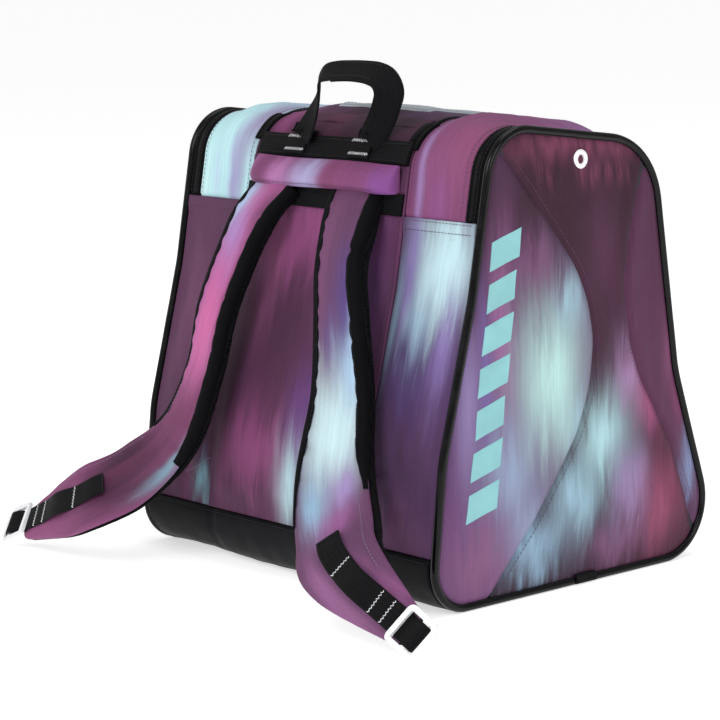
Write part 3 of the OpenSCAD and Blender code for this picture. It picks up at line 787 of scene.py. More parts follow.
for side, sg in SIDES:
    def low_off(X, S, ex, es, sg=sg):
        a = np.abs(X)
        sag = 3.4 * smooth(ex / 30) * smooth((S - BACK_AT[HEM]) / 60) * smooth((BACK_AT[TRAY] - S) / 40)
        hem = 1.5 * smooth((BACK_AT[HEM] + 13 - S) / 2.2) - 0.5 * bell(S, BACK_AT[HEM] + 11, 1.8)
        crease = 1.5 * bell(S + 0.35 * (a - 150), BACK_AT[TRAY] - 34, 9) * smooth(ex / 16)
        folds = 0.9 * ripple(a, S, 70, 31 + int(sg), 2.4) + 0.5 * ripple(a, S, 26, 33 + int(sg), 1.8)
        calm = smooth(ex / 12) * smooth((S - BACK_AT[HEM] - 14) / 24) * smooth(es / 12)
        return sag + hem - crease + folds * calm

    wrap(f"pod_low_cloth_{side}", sg * (MID + GAP), sg * SHELL_X, BACK_AT[HEM] - 1.5, BACK_AT[TRAY] - GAP,
         low_off, 3.4, "shell", field=POD_LOW[side], replaces=(f"pod_back_{side}",),
         base=-2.0, up=UP, roll=1.2)
    for d in (2.2, 10.5):
        top_stitch("shell", "plum", sg * (MID + 3), sg * (SHELL_X - 2), BACK_AT[HEM] - 1.5 + d, -0.35)

    def top_off(X, S, ex, es, sg=sg):
        a = np.abs(X)
        edge = smooth(ex / 24)
        height = 6.0 if sg > 0 else 5.0
        dome = height * smooth(ex / 30) * smooth((BACK_AT[HEM] - S) / 70) * smooth((S - FRONT_HEM) / 60)
        tuck = -2.6 * smooth((S - BACK_AT[HEM] + 5) / 6)
        folds = 0.9 * ripple(a, S, 60, 41 + int(sg), 1.8) + 0.5 * ripple(a, S, 24, 43 + int(sg), 1.5)
        return dome + tuck + folds * edge * smooth(es / 16)

    wrap(f"pod_top_cloth_{side}", sg * (MID + GAP), sg * (ZIP_IN - GAP), FRONT_HEM, BACK_AT[HEM] + 5,
         top_off, 3.0, "shell", field=POD_TOP[side], replaces=(f"pod_top_{side}",),
         base=-2.0, up=UP, roll=1.2, inner_off=-2.6)
    run_stitch("shell", "plum", sg * (ZIP_IN - 4.5), FRONT_HEM + 6, BACK_AT[HEM] - 4, -0.9, 240)
    run_stitch("shell", "plum", sg * (MID + 4.5), FRONT_HEM + 6, BACK_AT[HEM] - 4, -0.9, 240)

    def frontpod_off(X, S, ex, es, sg=sg):
        a = np.abs(X)
        return (4.5 * smooth(ex / 26) * smooth(es / 40)
                + (0.9 * ripple(a, S, 70, 51 + int(sg), 2) + 0.4 * ripple(a, S, 26, 53))
                * smooth(ex / 10) * smooth(es / 12))

    wrap(f"pod_front_cloth_{side}", sg * (MID + GAP), sg * (ZIP_IN - GAP), FRONT_TRAY + GAP, FRONT_HEM,
         frontpod_off, 3.0, "shell", field=FRONT, replaces=(f"pod_front_{side}",),
         base=-2.0, up=TRAY - FRONT_TRAY)


def front_off(X, S, ex, es):
    """Relief of the front panel."""
    return (5.0 * smooth(ex / 30) * smooth(es / 40)
            + (0.9 * ripple(X, S, 80, 61, 2) + 0.4 * ripple(X, S, 28, 62)) * smooth(ex / 10)
            * smooth(es / 12))


wrap("front_cloth", -MID + 0.1, MID - 0.1, FRONT_TRAY + GAP, OUTLINE.front(304.7), front_off, 3.0,
     "shell", field=FRONT, replaces=("front_panel",), base=-2.0, up=TRAY - FRONT_TRAY)
top_stitch("shell", "plum", -MID + 4, MID - 4, OUTLINE.front(301.5), -0.9)
top_stitch("shell", "plum", -SHELL_X + 18, SHELL_X - 18, FRONT_TRAY + 4, -1.2, 200)


def hinge_off(X, S, ex, es):
    """Relief of the hinge strip."""
    return 1.6 * smooth(ex / 20) + 0.5 * ripple(X, S, 50, 71) * smooth(ex / 12) + 0.4


wrap("hinge_cloth", -MID + 0.1, MID - 0.1, TOP_LID + GAP, BACK_AT[BAND] - GAP, hinge_off, 3.0, "shell",
     field=HINGE, replaces=("hinge_strip",), base=-2.0, up=UP)

# ---------------------------------------------------------------- zips
def zip_path(s0, s1, step):
    """Outline distances, face normals and running directions along a zip."""
    s = np.arange(min(s0, s1), max(s0, s1), step)
    n = OUTLINE.normal(s)
    return s, np.c_[np.zeros(len(s)), n], np.c_[np.zeros(len(s)), -n[:, 1], n[:, 0]]


def coil(name, x, s0, s1, sides, body, off):
    """Rows of teeth on one or both sides of a zip that runs along the outline at x."""
    cs, nn, tt = [], [], []
    for k, sx in enumerate(sides):
        s, n, t = zip_path(s0 + k * PITCH / 2, s1, PITCH)
        cs.append(on_shell(np.full(len(s), x + sx * 1.05), s, off))
        nn.append(n)
        tt.append(t)
    c, n, t = np.concatenate(cs), np.concatenate(nn), np.concatenate(tt)
    return boxes(name, c, np.tile([1.0, 0, 0], (len(c), 1)), t, n, TOOTH, body, "coil")


for side, sg in SIDES:
    def tape_off(X, S, ex, es, sg=sg):
        c = np.abs(np.abs(X) - (ZIP_IN + SHELL_X) / 2)
        return 1.5 * smooth((c - 2.2) / 1.2) * smooth((7.4 - c) / 3.0) - 0.3 * bell(c, 0, 1.0)

    wrap(f"end_zip_tape_{side}", sg * ZIP_IN, sg * SHELL_X, FRONT_TRAY + GAP, BACK_AT[HEM] - 1.8,
         tape_off, 2.4, "shell", mats=("tape",), replaces=(f"end_zip_{side}",), base=-2.4,
         step=1.6, roll=0.6)
    zx = sg * (ZIP_IN + SHELL_X) / 2
    coil(f"end_zip_teeth_{side}", zx, FRONT_TRAY + 3, BACK_AT[HEM] - 3, (-1, 1), "shell", -2.1)
    for dx in (-5.2, 5.2):
        run_stitch("shell", "black", zx + dx, FRONT_TRAY + 4, BACK_AT[HEM] - 4, -0.6, 260)


def flat_tape(name, x0, x1, s0, s1, body):
    """Zip tape flat on the shell."""
    return wrap(name, x0, x1, s0, s1, lambda X, S, ex, es: 0.25 * ripple(X, S, 20, 81), 2.2, body,
                mats=("tape",), base=-2.2, step=2.2, roll=0.5)


def joined(objs, name):
    """Several meshes of one body made into one piece."""
    bpy.ops.object.select_all(action="DESELECT")
    for o in objs:
        o.select_set(True)
    bpy.context.view_layer.objects.active = objs[0]
    bpy.ops.object.join()
    objs[0].name = name
    return objs[0]


FRONT_TRACK = OUTLINE.front(LID_Z - 5.0)
track = [flat_tape("t0", MID - 5.0, MID - GAP, FRONT_TRACK, TOP_LID, "shell"),
         flat_tape("t1", -MID + GAP, -MID + 5.0, FRONT_TRACK, TOP_LID, "shell"),
         flat_tape("t2", -MID + 5.0, MID - 5.0, FRONT_TRACK, OUTLINE.front(LID_Z - GAP), "shell")]
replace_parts(joined(track, "lid_zip_track_tape"), "lid_zip_track")
ltape = [flat_tape("t3", LID_HALF - LID_TAPE, LID_HALF, FRONT_LID, TOP_LID, "lid"),
         flat_tape("t4", -LID_HALF, -LID_HALF + LID_TAPE, FRONT_LID, TOP_LID, "lid"),
         flat_tape("t5", -LID_HALF + LID_TAPE, LID_HALF - LID_TAPE, FRONT_LID,
                   OUTLINE.front(LID_Z + LID_TAPE), "lid")]
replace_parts(joined(ltape, "lid_zip_edge_tape"), "lid_zip_tape")
for side, sg in SIDES:
    coil(f"lid_zip_teeth_outer_{side}", sg * LID_COIL, FRONT_LID, TOP_LID - 2, (sg,), "shell", -1.7)
    coil(f"lid_zip_teeth_inner_{side}", sg * LID_COIL, FRONT_LID + PITCH / 2, TOP_LID - 2, (-sg,), "lid",
         -1.7)


def cross_coil(name, z, s_shift, body):
    """Teeth of the zip across the front of the lid."""
    x = np.arange(-LID_HALF + 1, LID_HALF - 1, PITCH) + (0.0 if body == "shell" else PITCH / 2)
    s = OUTLINE.front(z) + s_shift
    n = OUTLINE.normal(s)
    c = on_shell(x, np.full(len(x), s), -1.7)
    one = np.ones((len(x), 1))
    boxes(name, c, one * [0, -n[1], n[0]], one * [1.0, 0, 0], one * [0, n[0], n[1]], TOOTH, body, "coil")


cross_coil("lid_zip_teeth_front_low", LID_Z - 0.15, -1.05, "shell")
cross_coil("lid_zip_teeth_front_up", LID_Z - 0.15, 1.05, "lid")

# The lid's zip tapes run on down the back edge to the handle band.
for side, sg in SIDES:
    x0, x1 = (-111.5, -98.5) if sg < 0 else (98.5, 113.0)
    zx = sg * LID_COIL

    def band_off(X, S, ex, es, zx=zx):
        c = np.abs(X - zx)
        return 1.0 * smooth((c - 2.0) / 1.4) + 0.25 * ripple(X, S, 24, 83)

    wrap(f"lid_zip_band_{side}", x0, x1, TOP_LID + 0.4, BACK_AT[BAND_TOP] + 6, band_off, 2.4, "shell",
         mats=("tape",), base=0.4, step=1.6, roll=0.7)
    coil(f"lid_zip_band_teeth_{side}", zx, TOP_LID + 2, BACK_AT[BAND_TOP] + 4, (-1, 1), "shell", 0.7)
    for x in (x0 + 2.2, x1 - 2.2):
        run_stitch("shell", "black", x, TOP_LID + 3, BACK_AT[BAND_TOP] + 4, 1.5, 90)


# ---------------------------------------------------------------- lid
def lid_height(X, S):
    """How far the face of the lid stands above the shell."""
    ex, es = LID_HALF - LID_TAPE - np.abs(X), np.minimum(S - OUTLINE.front(LID_Z + LID_TAPE), TOP_LID - S)
    es = np.maximum(es, 0)
    dome = 8.0 * smooth(ex / 46) * smooth(es / 38)
    folds = 1.0 * ripple(X, S, 85, 91, 1.6) + 0.5 * ripple(X, S, 30, 92, 1.4)
    return dome + folds * smooth(ex / 16) * smooth(es / 18)


wrap("lid_cloth", -LID_HALF + LID_TAPE, LID_HALF - LID_TAPE, OUTLINE.front(LID_Z + LID_TAPE), TOP_LID - 0.2,
     lambda X, S, ex, es: lid_height(X, S), 3.0, "lid", field=LID, replaces=("lid_panel",),
     base=-2.0, up=UP, inner_off=-2.6)
for sx in (-1, 1):
    run_stitch("lid", "plum", sx * (LID_HALF - 8.5), OUTLINE.front(LID_Z + 8), TOP_LID - 3, -0.9, 300)
top_stitch("lid", "plum", -LID_HALF + 9, LID_HALF - 9, OUTLINE.front(LID_Z + 8.5), -0.9)

PATCH_X = (-52.0, 72.0)
xs, ss = spaced(*PATCH_X, 4), spaced(OUTLINE.top(46), OUTLINE.top(-58), 4)
X, S = np.meshgrid(xs, ss, indexing="ij")
e = np.minimum(62 - np.abs(X - 10), np.minimum(np.abs(S - ss[0]), np.abs(ss[-1] - S)))
h = lid_height(X, S) - 2.0
panel("lid_patch_cloth", on_shell(X, S, h + 0.9 + edge_roll(e, 0.6)), on_shell(X, S, h - 0.3), "lid",
      ("patch",), np.stack([X, S], -1), replaces=("lid_patch",))
px0, px1, ps0, ps1 = PATCH_X[0] + 2, PATCH_X[1] - 2, ss[2] + 1, ss[-3] - 1
corners = [(px0, ps0), (px1, ps0), (px1, ps1), (px0, ps1)]
loop = np.concatenate([np.linspace(a, b, 60) for a, b in zip(corners, corners[1:] + corners[:1])])
nr = OUTLINE.normal(loop[:, 1])
THREADS.add("lid", "grey", on_shell(loop[:, 0], loop[:, 1], lid_height(loop[:, 0], loop[:, 1]) - 1.05),
      np.c_[np.zeros(len(nr)), nr])

# The print runs on over the hinge line of the lid.
def fold_off(X, S, ex, es):
    """Relief of the cloth over the hinge line."""
    return 0.9 * smooth(ex / 20) + 0.3 * ripple(X, S, 40, 95)


wrap("lid_hinge_cloth", -LID_HALF + 5.5, LID_HALF - 5.5, TOP_LID - 9, TOP_LID + 9, fold_off, 1.4, "shell",
     mats=("print",), field=HINGE, base=-0.6, up=UP, step=2.0, roll=0.7,
     blend=("shell", "lid", on_shell(0.0, TOP_LID + 8, 0) * MM, on_shell(0.0, TOP_LID - 8, 0) * MM))

# ---------------------------------------------------------------- end doors
REAR_SEAM = rounded([[-112, 414, 0], [49, 213, 140], [-130, -14, 0]])[::-1]
FRONT_SEAM = rounded([[92, 406, 0], [36, 235, 170], [118, 112, 60], [164, -12, 0]])[::-1]
RIM = 6.2
EYE = (-3.0, 382.0)


def inside(path, d):
    """The part of a seam inside the outline pulled in by d, and the outline distances of its two ends."""
    y, z = OUTLINE.at(OUTLINE.s, -d)
    ring = np.stack([y, z], 1)
    px, py = path[:, 0], path[:, 1]
    hit = np.zeros(len(path), bool)
    for (x0, y0), (x1, y1) in zip(ring, np.roll(ring, -1, axis=0)):
        m = (y0 > py) != (y1 > py)
        if m.any() and y1 != y0:
            hit[m] ^= px[m] < (x1 - x0) * (py[m] - y0) / (y1 - y0) + x0
    q = path[hit]
    near = lambda p: float(OUTLINE.s[int(np.argmin(np.linalg.norm(ring - p, axis=1)))])
    s0, s1 = near(q[0]), near(q[-1])
    ends = [np.array(OUTLINE.at(s, -d)).reshape(1, 2) for s in (s0, s1)]
    return np.concatenate([ends[0], q[1:-1], ends[1]]), s0, s1


def rim_path(s0, s1, d):
    """Along the pulled-in outline from s0 to s1, the short way."""
    if s1 - s0 > OUTLINE.length / 2:
        s1 -= OUTLINE.length
    if s0 - s1 > OUTLINE.length / 2:
        s0 -= OUTLINE.length
    s = np.linspace(s0, s1, 240)
    y, z = OUTLINE.at(np.mod(s, OUTLINE.length), -d)
    return np.stack([y, z], 1)


def patch(left, right, bottom, top, nu, nv):
    """A grid of (y, z) points between four curves; left and right run upwards."""
    t = np.linspace(0, 1, nv)
    u = spaced(0, 1, 1.0 / nu, (0.006, 0.02, 0.045))
    L, R = resample(left, count=nv), resample(right, count=nv)
    P = L[None] * (1 - u)[:, None, None] + R[None] * u[:, None, None]
    if bottom is not None:
        B, Tp = resample(bottom, count=200), resample(top, count=200)
        at = lambda c, k: np.stack([np.interp(k, np.linspace(0, 1, 200), c[:, i]) for i in (0, 1)], -1)
        Bu, Tu = at(B, u), at(Tp, u)
        tt = t[None, :, None]
        P = P + (1 - tt) * (Bu - ((1 - u)[:, None] * B[0] + u[:, None] * B[-1]))[:, None]
        P = P + tt * (Tu - ((1 - u)[:, None] * Tp[0] + u[:, None] * Tp[-1]))[:, None]
    return P


REAR_LINE, REAR_START, REAR_END = inside(REAR_SEAM, RIM)
FRONT_LINE, FRONT_START, FRONT_END = inside(FRONT_SEAM, RIM)
RIM_LINE = np.stack(OUTLINE.at(OUTLINE.s, -RIM), 1)


def door_x(y, z):
    """How far out the face of a door stands, before its seams."""
    e = polyline_distance(y, z, RIM_LINE)
    r, f = polyline_distance(y, z, REAR_LINE), polyline_distance(y, z, FRONT_LINE)
    x = 204.4 + 1.4 * smooth(e / 5) + 5.6 * smooth(e / 70)
    x = x - 2.4 * np.exp(-(r / 3.0) ** 2) - 2.8 * np.exp(-(f / 3.0) ** 2)
    x = x + 1.1 * bell(r, 10, 7) * smooth(e / 20) + 1.6 * bell(f, 11, 8) * smooth(e / 20)
    x = x + (1.0 * ripple(y, z, 130, 101, 1.6) + 0.35 * ripple(y, z, 36, 102, 1.5)) * smooth(e / 25)
    d1 = np.abs((z - 35) + 0.12 * (y + 40))
    d2 = np.abs((z - 122) - 0.6 * (y - 3))
    x = x - 0.9 * np.exp(-(d1 / 3.5) ** 2) * smooth((40 - np.abs(y + 38)) / 20)
    x = x - 0.9 * np.exp(-(d2 / 3.0) ** 2) * smooth((16 - np.abs(y - 3)) / 10)
    return x


def door_piece(name, sg, side, grid, field, node):
    """One sewn piece of a door, over the liner."""
    y, z = grid[..., 0], grid[..., 1]
    x = door_x(y, z)
    outer = np.stack([sg * x, y, z], -1)
    inner = np.stack([sg * np.full(x.shape, 203.9), y, z], -1)
    return panel(name, outer, inner, f"{side}_door", ("print", "lining"),
                 np.stack([y, z], -1), field, (y, z, TINT_SHIFT), (node,))


def offset_line(path, d):
    """The line moved sideways by d."""
    t = np.gradient(path, axis=0)
    t /= np.linalg.norm(t, axis=1)[:, None]
    return path + np.stack([t[:, 1], -t[:, 0]], 1) * d


rear_grid = patch(rim_path(REAR_START, REAR_END, RIM)[2:-2], REAR_LINE[2:-2], None, None, 34, 110)
mid_grid = patch(REAR_LINE, FRONT_LINE, rim_path(REAR_START, FRONT_START, RIM),
                 rim_path(REAR_END, FRONT_END, RIM), 56, 110)
front_grid = patch(FRONT_LINE[2:-2], rim_path(FRONT_START, FRONT_END, RIM)[2:-2], None, None, 26, 110)
full_left = rim_path(OUTLINE.back(6.0), OUTLINE.back(400.0), 7.0)
full_right = rim_path(OUTLINE.front(6.0), OUTLINE.front(385.0), 7.0)
full_grid = patch(full_left, full_right, None, None, 60, 70)

for side, sg in SIDES:
    for name, g in (("rear", rear_grid), ("mid", mid_grid), ("front", front_grid)):
        o = door_piece(f"door_{name}_cloth_{side}", sg, side, g, END[name], f"end_{name}_{side}")
    y, z = full_grid[..., 0], full_grid[..., 1]
    e = polyline_distance(y, z, np.stack(OUTLINE.at(OUTLINE.s, -7), 1))
    x_in = 200.2 + 0.5 * ripple(y, z, 60, 111) * smooth(e / 10)
    panel(f"door_lining_{side}", np.stack([sg * np.maximum(x_in, 199.9), y, z], -1),
          np.stack([sg * np.full(x_in.shape, 203.6), y, z], -1), f"{side}_door", ("lining",),
          np.stack([y, z], -1), replaces=(f"end_liner_{side}",))

    # Stitch lines beside the two curved seams and inside the piping.
    for path, d, c in ((REAR_LINE, 4.5, "plum"), (FRONT_LINE, -5.0, "plum"), (FRONT_LINE, 5.0, "plum")):
        q = offset_line(path[4:-4], d)
        THREADS.add(f"{side}_door", c, np.stack([sg * (door_x(q[:, 0], q[:, 1]) + 0.05), q[:, 0],
                                                 q[:, 1]], 1), [sg, 0, 0])

    # Piping: a cord wrapped in shiny vinyl, sewn round the door.
    s = np.linspace(0, OUTLINE.length, 420)[:-1]
    a = np.linspace(0, 2 * math.pi, 18)[:-1]
    rr = 1.0 + 0.012 * ripple(s[:, None] + 0 * a, 20 * a[None] + 0 * s[:, None], 40, 115)
    X = 204.1 + 4.05 * np.cos(a)[None] * rr
    D = -2.9 + 3.7 * np.sin(a)[None] * rr
    y, z = OUTLINE.at(np.repeat(s[:, None], len(a), 1), D)
    sweep(f"door_piping_{side}", np.stack([sg * X, y, np.maximum(z, 0.0)], -1), f"{side}_door",
          ("piping",),
          np.stack([np.repeat(s[:, None], len(a), 1), 4 * np.repeat(a[None], len(s), 0)], -1),
          closed=True, replaces=(f"end_piping_{side}",))
    s = np.linspace(4, OUTLINE.length - 4, 900)
    nr = OUTLINE.normal(s)
    THREADS.add(f"{side}_door", "black", on_shell(np.full(900, sg * 206.4), s, -6.4),
                np.tile([sg, 0, 0], (900, 1)), 2.6, 1.2)

    # Eyelet: a rolled ring through the cloth, with a dark disc in its hole as painted shade.
    prof = [(4.0, -2.4), (4.0, 0.6), (4.4, 1.6), (5.2, 2.2), (6.4, 2.3), (7.6, 1.8), (8.5, 0.9), (8.7, 0.2),
            (8.2, -0.3), (6.2, -0.4), (5.4, -1.2), (5.3, -2.4)]
    a = np.linspace(0, 2 * math.pi, 57)[:-1]
    rings = []
    base_x = float(door_x(np.array([EYE[0]]), np.array([EYE[1]]))[0]) + 0.1
    for t in a:
        rings.append([[sg * (base_x + h), EYE[0] + r * math.cos(t), EYE[1] + r * math.sin(t)]
                      for r, h in prof])
    rings = np.array(rings)
    sweep(f"eyelet_ring_{side}", rings, f"{side}_door", ("white_metal",), rings[..., 1:],
          closed=True, sharp=60, replaces=(f"eyelet_{side}",))
    # A dark disc inside the ring: painted shade standing in for the open hole into the bag.
    a = np.linspace(0, 2 * math.pi, 41)[:-1]
    disc = [[[sg * (base_x - 0.9 - 0.3 * k), EYE[0] + r * math.cos(t), EYE[1] + r * math.sin(t)] for t in a]
            for k, r in ((0, 4.6), (1, 0.2))]
    sweep(f"eyelet_dark_{side}", np.array(disc), f"{side}_door", ("tape",),
          np.array(disc)[..., 1:])

    # Generic slanted bars printed on the rear piece.
    for k in range(7):
        z0 = 82 + k * 36.0
        yc = -128 + 0.145 * (z0 - 82)
        h, w = 25.0, 33.0 - 1.2 * (k % 3)
        u, v = np.meshgrid(np.linspace(0, 1, 16), np.linspace(0, 1, 12), indexing="ij")
        y = yc + (u - 0.5) * w + 0.145 * v * h
        z = z0 + v * h + 11.0 * (u - 0.5)
        x = door_x(y, z)
        panel(f"door_bar_{k}_{side}", np.stack([sg * (x + 0.28), y, z], -1),
              np.stack([sg * (x - 0.25), y, z], -1), f"{side}_door", ("teal",),
              np.stack([y, z], -1))

    # A folded webbing tab sewn under the piping.
    prof = np.array([(206.6, 9.6), (208.6, 9.0), (209.6, 6.5), (209.9, 3.6), (209.4, 1.2), (208.2, 0.6),
                     (207.2, 1.4), (206.4, 4.5)])
    rings = np.stack([np.c_[sg * prof[:, 0], np.full(len(prof), -10 + 25 * t),
                            prof[:, 1]] for t in np.linspace(0, 1, 13)])
    sweep(f"door_tab_{side}", rings, f"{side}_door", ("webbing",),
          np.stack([rings[..., 2], rings[..., 1]], -1), replaces=(f"end_tab_{side}",))

    # Cloth gusset along the slanted hinge edge of the door.
    def gusset_off(X, S, ex, es):
        return 0.2 * ripple(X, S, 30, 121)

    lo, hi = OUTLINE.back(300.0), OUTLINE.back(24.0)
    mid_s = OUTLINE.back(138.0)
    axis_pt = np.array(on_shell(sg * 199.85, mid_s, -3.0))
    wrap(f"door_hinge_cloth_{side}", sg * 196.6, sg * 203.4, lo, hi, gusset_off, 1.2, "shell",
         mats=("lining",), base=-4.6, step=1.2, roll=0.5,
         blend=("shell", f"{side}_door", (axis_pt - [sg * 1.6, 0, 0]) * MM,
                (axis_pt + [sg * 1.6, 0, 0]) * MM))

    # Inner divider between the skate pod and the middle.
    flat_l, flat_r = rim_path(OUTLINE.back(11.0), OUTLINE.back(398.0), 6.4), rim_path(OUTLINE.front(11.0),
        OUTLINE.front(383.0), 6.4)
    g = patch(flat_l, flat_r, None, None, 46, 56)
    y, z = g[..., 0], g[..., 1]
    e = polyline_distance(y, z, np.stack(OUTLINE.at(OUTLINE.s, -6.4), 1))
    x = 110.4 + 1.6 * ripple(y, z, 150, 131 + int(sg), 1.4) * smooth(e / 30)
    panel(f"divider_cloth_{side}", np.stack([sg * (x + 0.9), y, z], -1),
          np.stack([sg * (x - 0.9), y, z], -1), "shell", ("lining",), np.stack([y, z], -1),
          replaces=(f"divider_{side}",))

# ---------------------------------------------------------------- yoke, handle band and handle
YOKE_X = (-93.0, 101.0)


def yoke_swell(x):
    """How far the padding of the yoke swells out at width x."""
    over = 1.6 * (bell(x, 57, 34) + bell(x, -57, 34)) - 0.8 * bell(x, 0, 18)
    return over + 0.5 * np.sin(x / 13.0) + 0.35 * np.sin(x / 6.1 + 1)


def yoke_piece():
    """The padded yoke, as rings round its section."""
    xs = spaced(YOKE_X[0], YOKE_X[1], 3.2, (0.5, 1.6, 3.2))
    prof = rounded([[-119, 355, 0], [-136, 353.6, 4], [-141.5, 361, 7], [-134, 372, 9],
                    [-122.5, 379.5, 3], [-117, 378, 0]])
    prof = resample(prof, count=26)
    rings, coords = [], []
    d = np.r_[0, np.cumsum(np.linalg.norm(np.diff(prof, axis=0), axis=1))]
    for x in xs:
        e = min(x - YOKE_X[0], YOKE_X[1] - x)
        k = 0.3 + 0.7 * math.sqrt(max(0.0, 1 - (1 - min(e, 16) / 16) ** 2))
        c = np.array([-121.0, 366.0])
        swell = np.outer(smooth(np.minimum(d, d[-1] - d) / 12), [-yoke_swell(x), 0])
        q = c + (prof - c) * np.array([k, 1.0]) + swell
        q[:, 1] += 0.5 * math.sin(x / 22.0)
        rings.append(np.c_[np.full(len(q), x), q])
        coords.append(np.c_[np.full(len(q), x), 388 - d])
    rings, coords = np.array(rings), np.array(coords)
    o = sweep("yoke_cloth", rings, "shell", ("print",), coords, YOKE,
              (coords[..., 0].ravel(), coords[..., 1].ravel(), 14.0), replaces=("yoke",))
    x = np.linspace(YOKE_X[0] + 12, YOKE_X[1] - 12, 200)
    THREADS.add("shell", "plum", np.c_[x, -139.4 - yoke_swell(x) * 0.9, 357.4 + 0.5 * np.sin(x / 22)],
                [0, -0.86, -0.5])


yoke_piece()


def web_wrap(name, x0, x1, z0, z1, off, thick, node=None, along_x=True, bulge=0.0):
    """Flat webbing lying on the back, from height z0 up to z1."""
    s0, s1 = OUTLINE.back(z1), OUTLINE.back(z0)
    xs, ss = spaced(x0, x1, 3.0, (0.3, 0.9, 1.8)), spaced(s0, s1, 1.5, (0.2, 0.5, 1.0))
    X, S = np.meshgrid(xs, ss, indexing="ij")
    e = np.minimum(np.minimum(X - xs[0], xs[-1] - X), np.minimum(S - s0, s1 - S))
    rise = bulge * smooth(np.minimum(X - x0, x1 - X) / 26)
    d = off + edge_roll(e, 0.7) + 0.25 * ripple(X, S, 34, 141) + rise
    cl = np.stack([S - (s0 + s1) / 2, X], -1) if along_x else np.stack([X - (x0 + x1) / 2, S], -1)
    return panel(name, on_shell(X, S, d), on_shell(X, S, d - thick), "shell", ("webbing",), cl,
                 replaces=(node,) if node else ())


web_wrap("yoke_webbing_strip", -MID + 1, MID - 1, 334.2, 353.4, 2.8, 2.6, "yoke_webbing", bulge=4.2)
web_wrap("handle_band_strip", -99.0, 107.0, BAND + 0.6, 397.3, 3.0, 3.6, "handle_band")
for x in (-FOOT_X, FOOT_X):
    web_wrap(f"handle_foot_{'left' if x < 0 else 'right'}", x - 13.5, x + 13.5, BAND + 2.6, 396.4, 5.4,
             2.2, None, False)
for x in (-FOOT_X, FOOT_X):
    for z in (394.2, 384.2):
        k = np.arange(0, 17)
        px, pz = x - 13 + k * 26 / 16, z + np.where(k % 2, 1.3, -1.3)
        s = np.array([OUTLINE.back(v) for v in pz])
        n = OUTLINE.normal(s)
        line = resample(on_shell(px, s, 5.75), step=1.0)
        THREADS.add("shell", "white", line, [0, n[8, 0], n[8, 1]], 2.6, 0.25, 0.42, 0.2)
for z in (BAND + 3.0, 394.8):
    top_stitch("shell", "black", -96.0, 104.0, OUTLINE.back(z), 3.1, 200)


def ribbon(name, centre, across, out, half, thick, body, blend=None, replaces=(), cup=0.0):
    """Flat webbing swept along centre points, with its width and face directions given at each."""
    w = np.array([-1, -0.92, -0.7, -0.35, 0, 0.35, 0.7, 0.92, 1.0])
    half = np.broadcast_to(half, len(centre))
    top = np.sqrt(np.maximum(0, 1 - np.abs(w) ** 14)) * 0.5
    run = np.r_[0, np.cumsum(np.linalg.norm(np.diff(centre, axis=0), axis=1))]
    prof_w = np.r_[w, w[::-1]]
    prof_n = np.r_[top, -top[::-1]]
    cupped = cup * (1 - prof_w ** 2)
    rings = (centre[:, None] + across[:, None] * (half[:, None] * prof_w[None])[..., None]
             + out[:, None] * (thick * prof_n + cupped)[None, :, None])
    cloth = np.stack([np.broadcast_to(prof_w * 12.5, rings.shape[:2]),
                      np.broadcast_to(run[:, None], rings.shape[:2])], -1)
    return sweep(name, rings, body, ("webbing",), cloth, replaces=replaces, blend=blend)


def frames(c, hint):
    """Tangent, width and face directions along a path, with the width kept near hint."""
    t = np.gradient(c, axis=0)
    t /= np.linalg.norm(t, axis=1)[:, None]
    w = hint - t * np.sum(hint * t, axis=1)[:, None]
    w /= np.linalg.norm(w, axis=1)[:, None]
    return t, w, np.cross(t, w)


def spline_points(keys, step=2.0):
    """A smooth line through the keys."""
    k = np.array(keys, float)
    k = np.concatenate([[2 * k[0] - k[1]], k, [2 * k[-1] - k[-2]]])
    out = []
    for i in range(1, len(k) - 2):
        t = np.linspace(0, 1, 24, endpoint=False)[:, None]
        p0, p1, p2, p3 = k[i - 1:i + 3]
        out.append(0.5 * (2 * p1 + (p2 - p0) * t + (2 * p0 - 5 * p1 + 4 * p2 - p3) * t ** 2
                          + (3 * p1 - p0 - 3 * p2 + p3) * t ** 3))
    out.append(k[-2][None])
    return resample(np.concatenate(out), step=step)


# Each row: x, y, z of the webbing's middle, then the direction of its width, then its half width.
HANDLE = [(-36, -117.0, 397, 1, 0, 0, 12.5), (-30.5, -116.0, 405, 1, -0.1, 0, 12.5),
          (-23, -114.5, 418, 0.95, -0.3, 0, 12.3), (-17.5, -113.5, 430, 0.85, -0.52, 0, 12.2),
          (-15.5, -113.0, 440, 0.74, -0.66, 0, 12.0), (-14.5, -113.0, 449, 0.68, -0.66, -0.3, 12.0),
          (-9, -113.0, 455.5, 0.4, -0.66, -0.62, 12.0), (3, -113.0, 458.0, 0.1, -0.68, -0.72, 12.2),
          (20, -113.0, 459.3, 0, -0.72, -0.7, 12.3), (40, -113.0, 459.6, 0, -0.73, -0.68, 12.4),
          (60, -113.0, 458.0, -0.12, -0.7, -0.7, 12.6), (74, -113.0, 452.5, -0.42, -0.68, -0.6, 13.2),
          (80.5, -113.0, 442, -0.66, -0.74, -0.2, 13.6), (77, -113.0, 430, -0.67, -0.74, 0.1, 13.0),
          (69.5, -113.5, 415, -0.72, -0.66, 0.2, 12.8), (61, -115.0, 403.5, -0.9, -0.4, 0.2, 12.6),
          (56, -117.0, 397, -1, -0.1, 0.1, 12.5)]


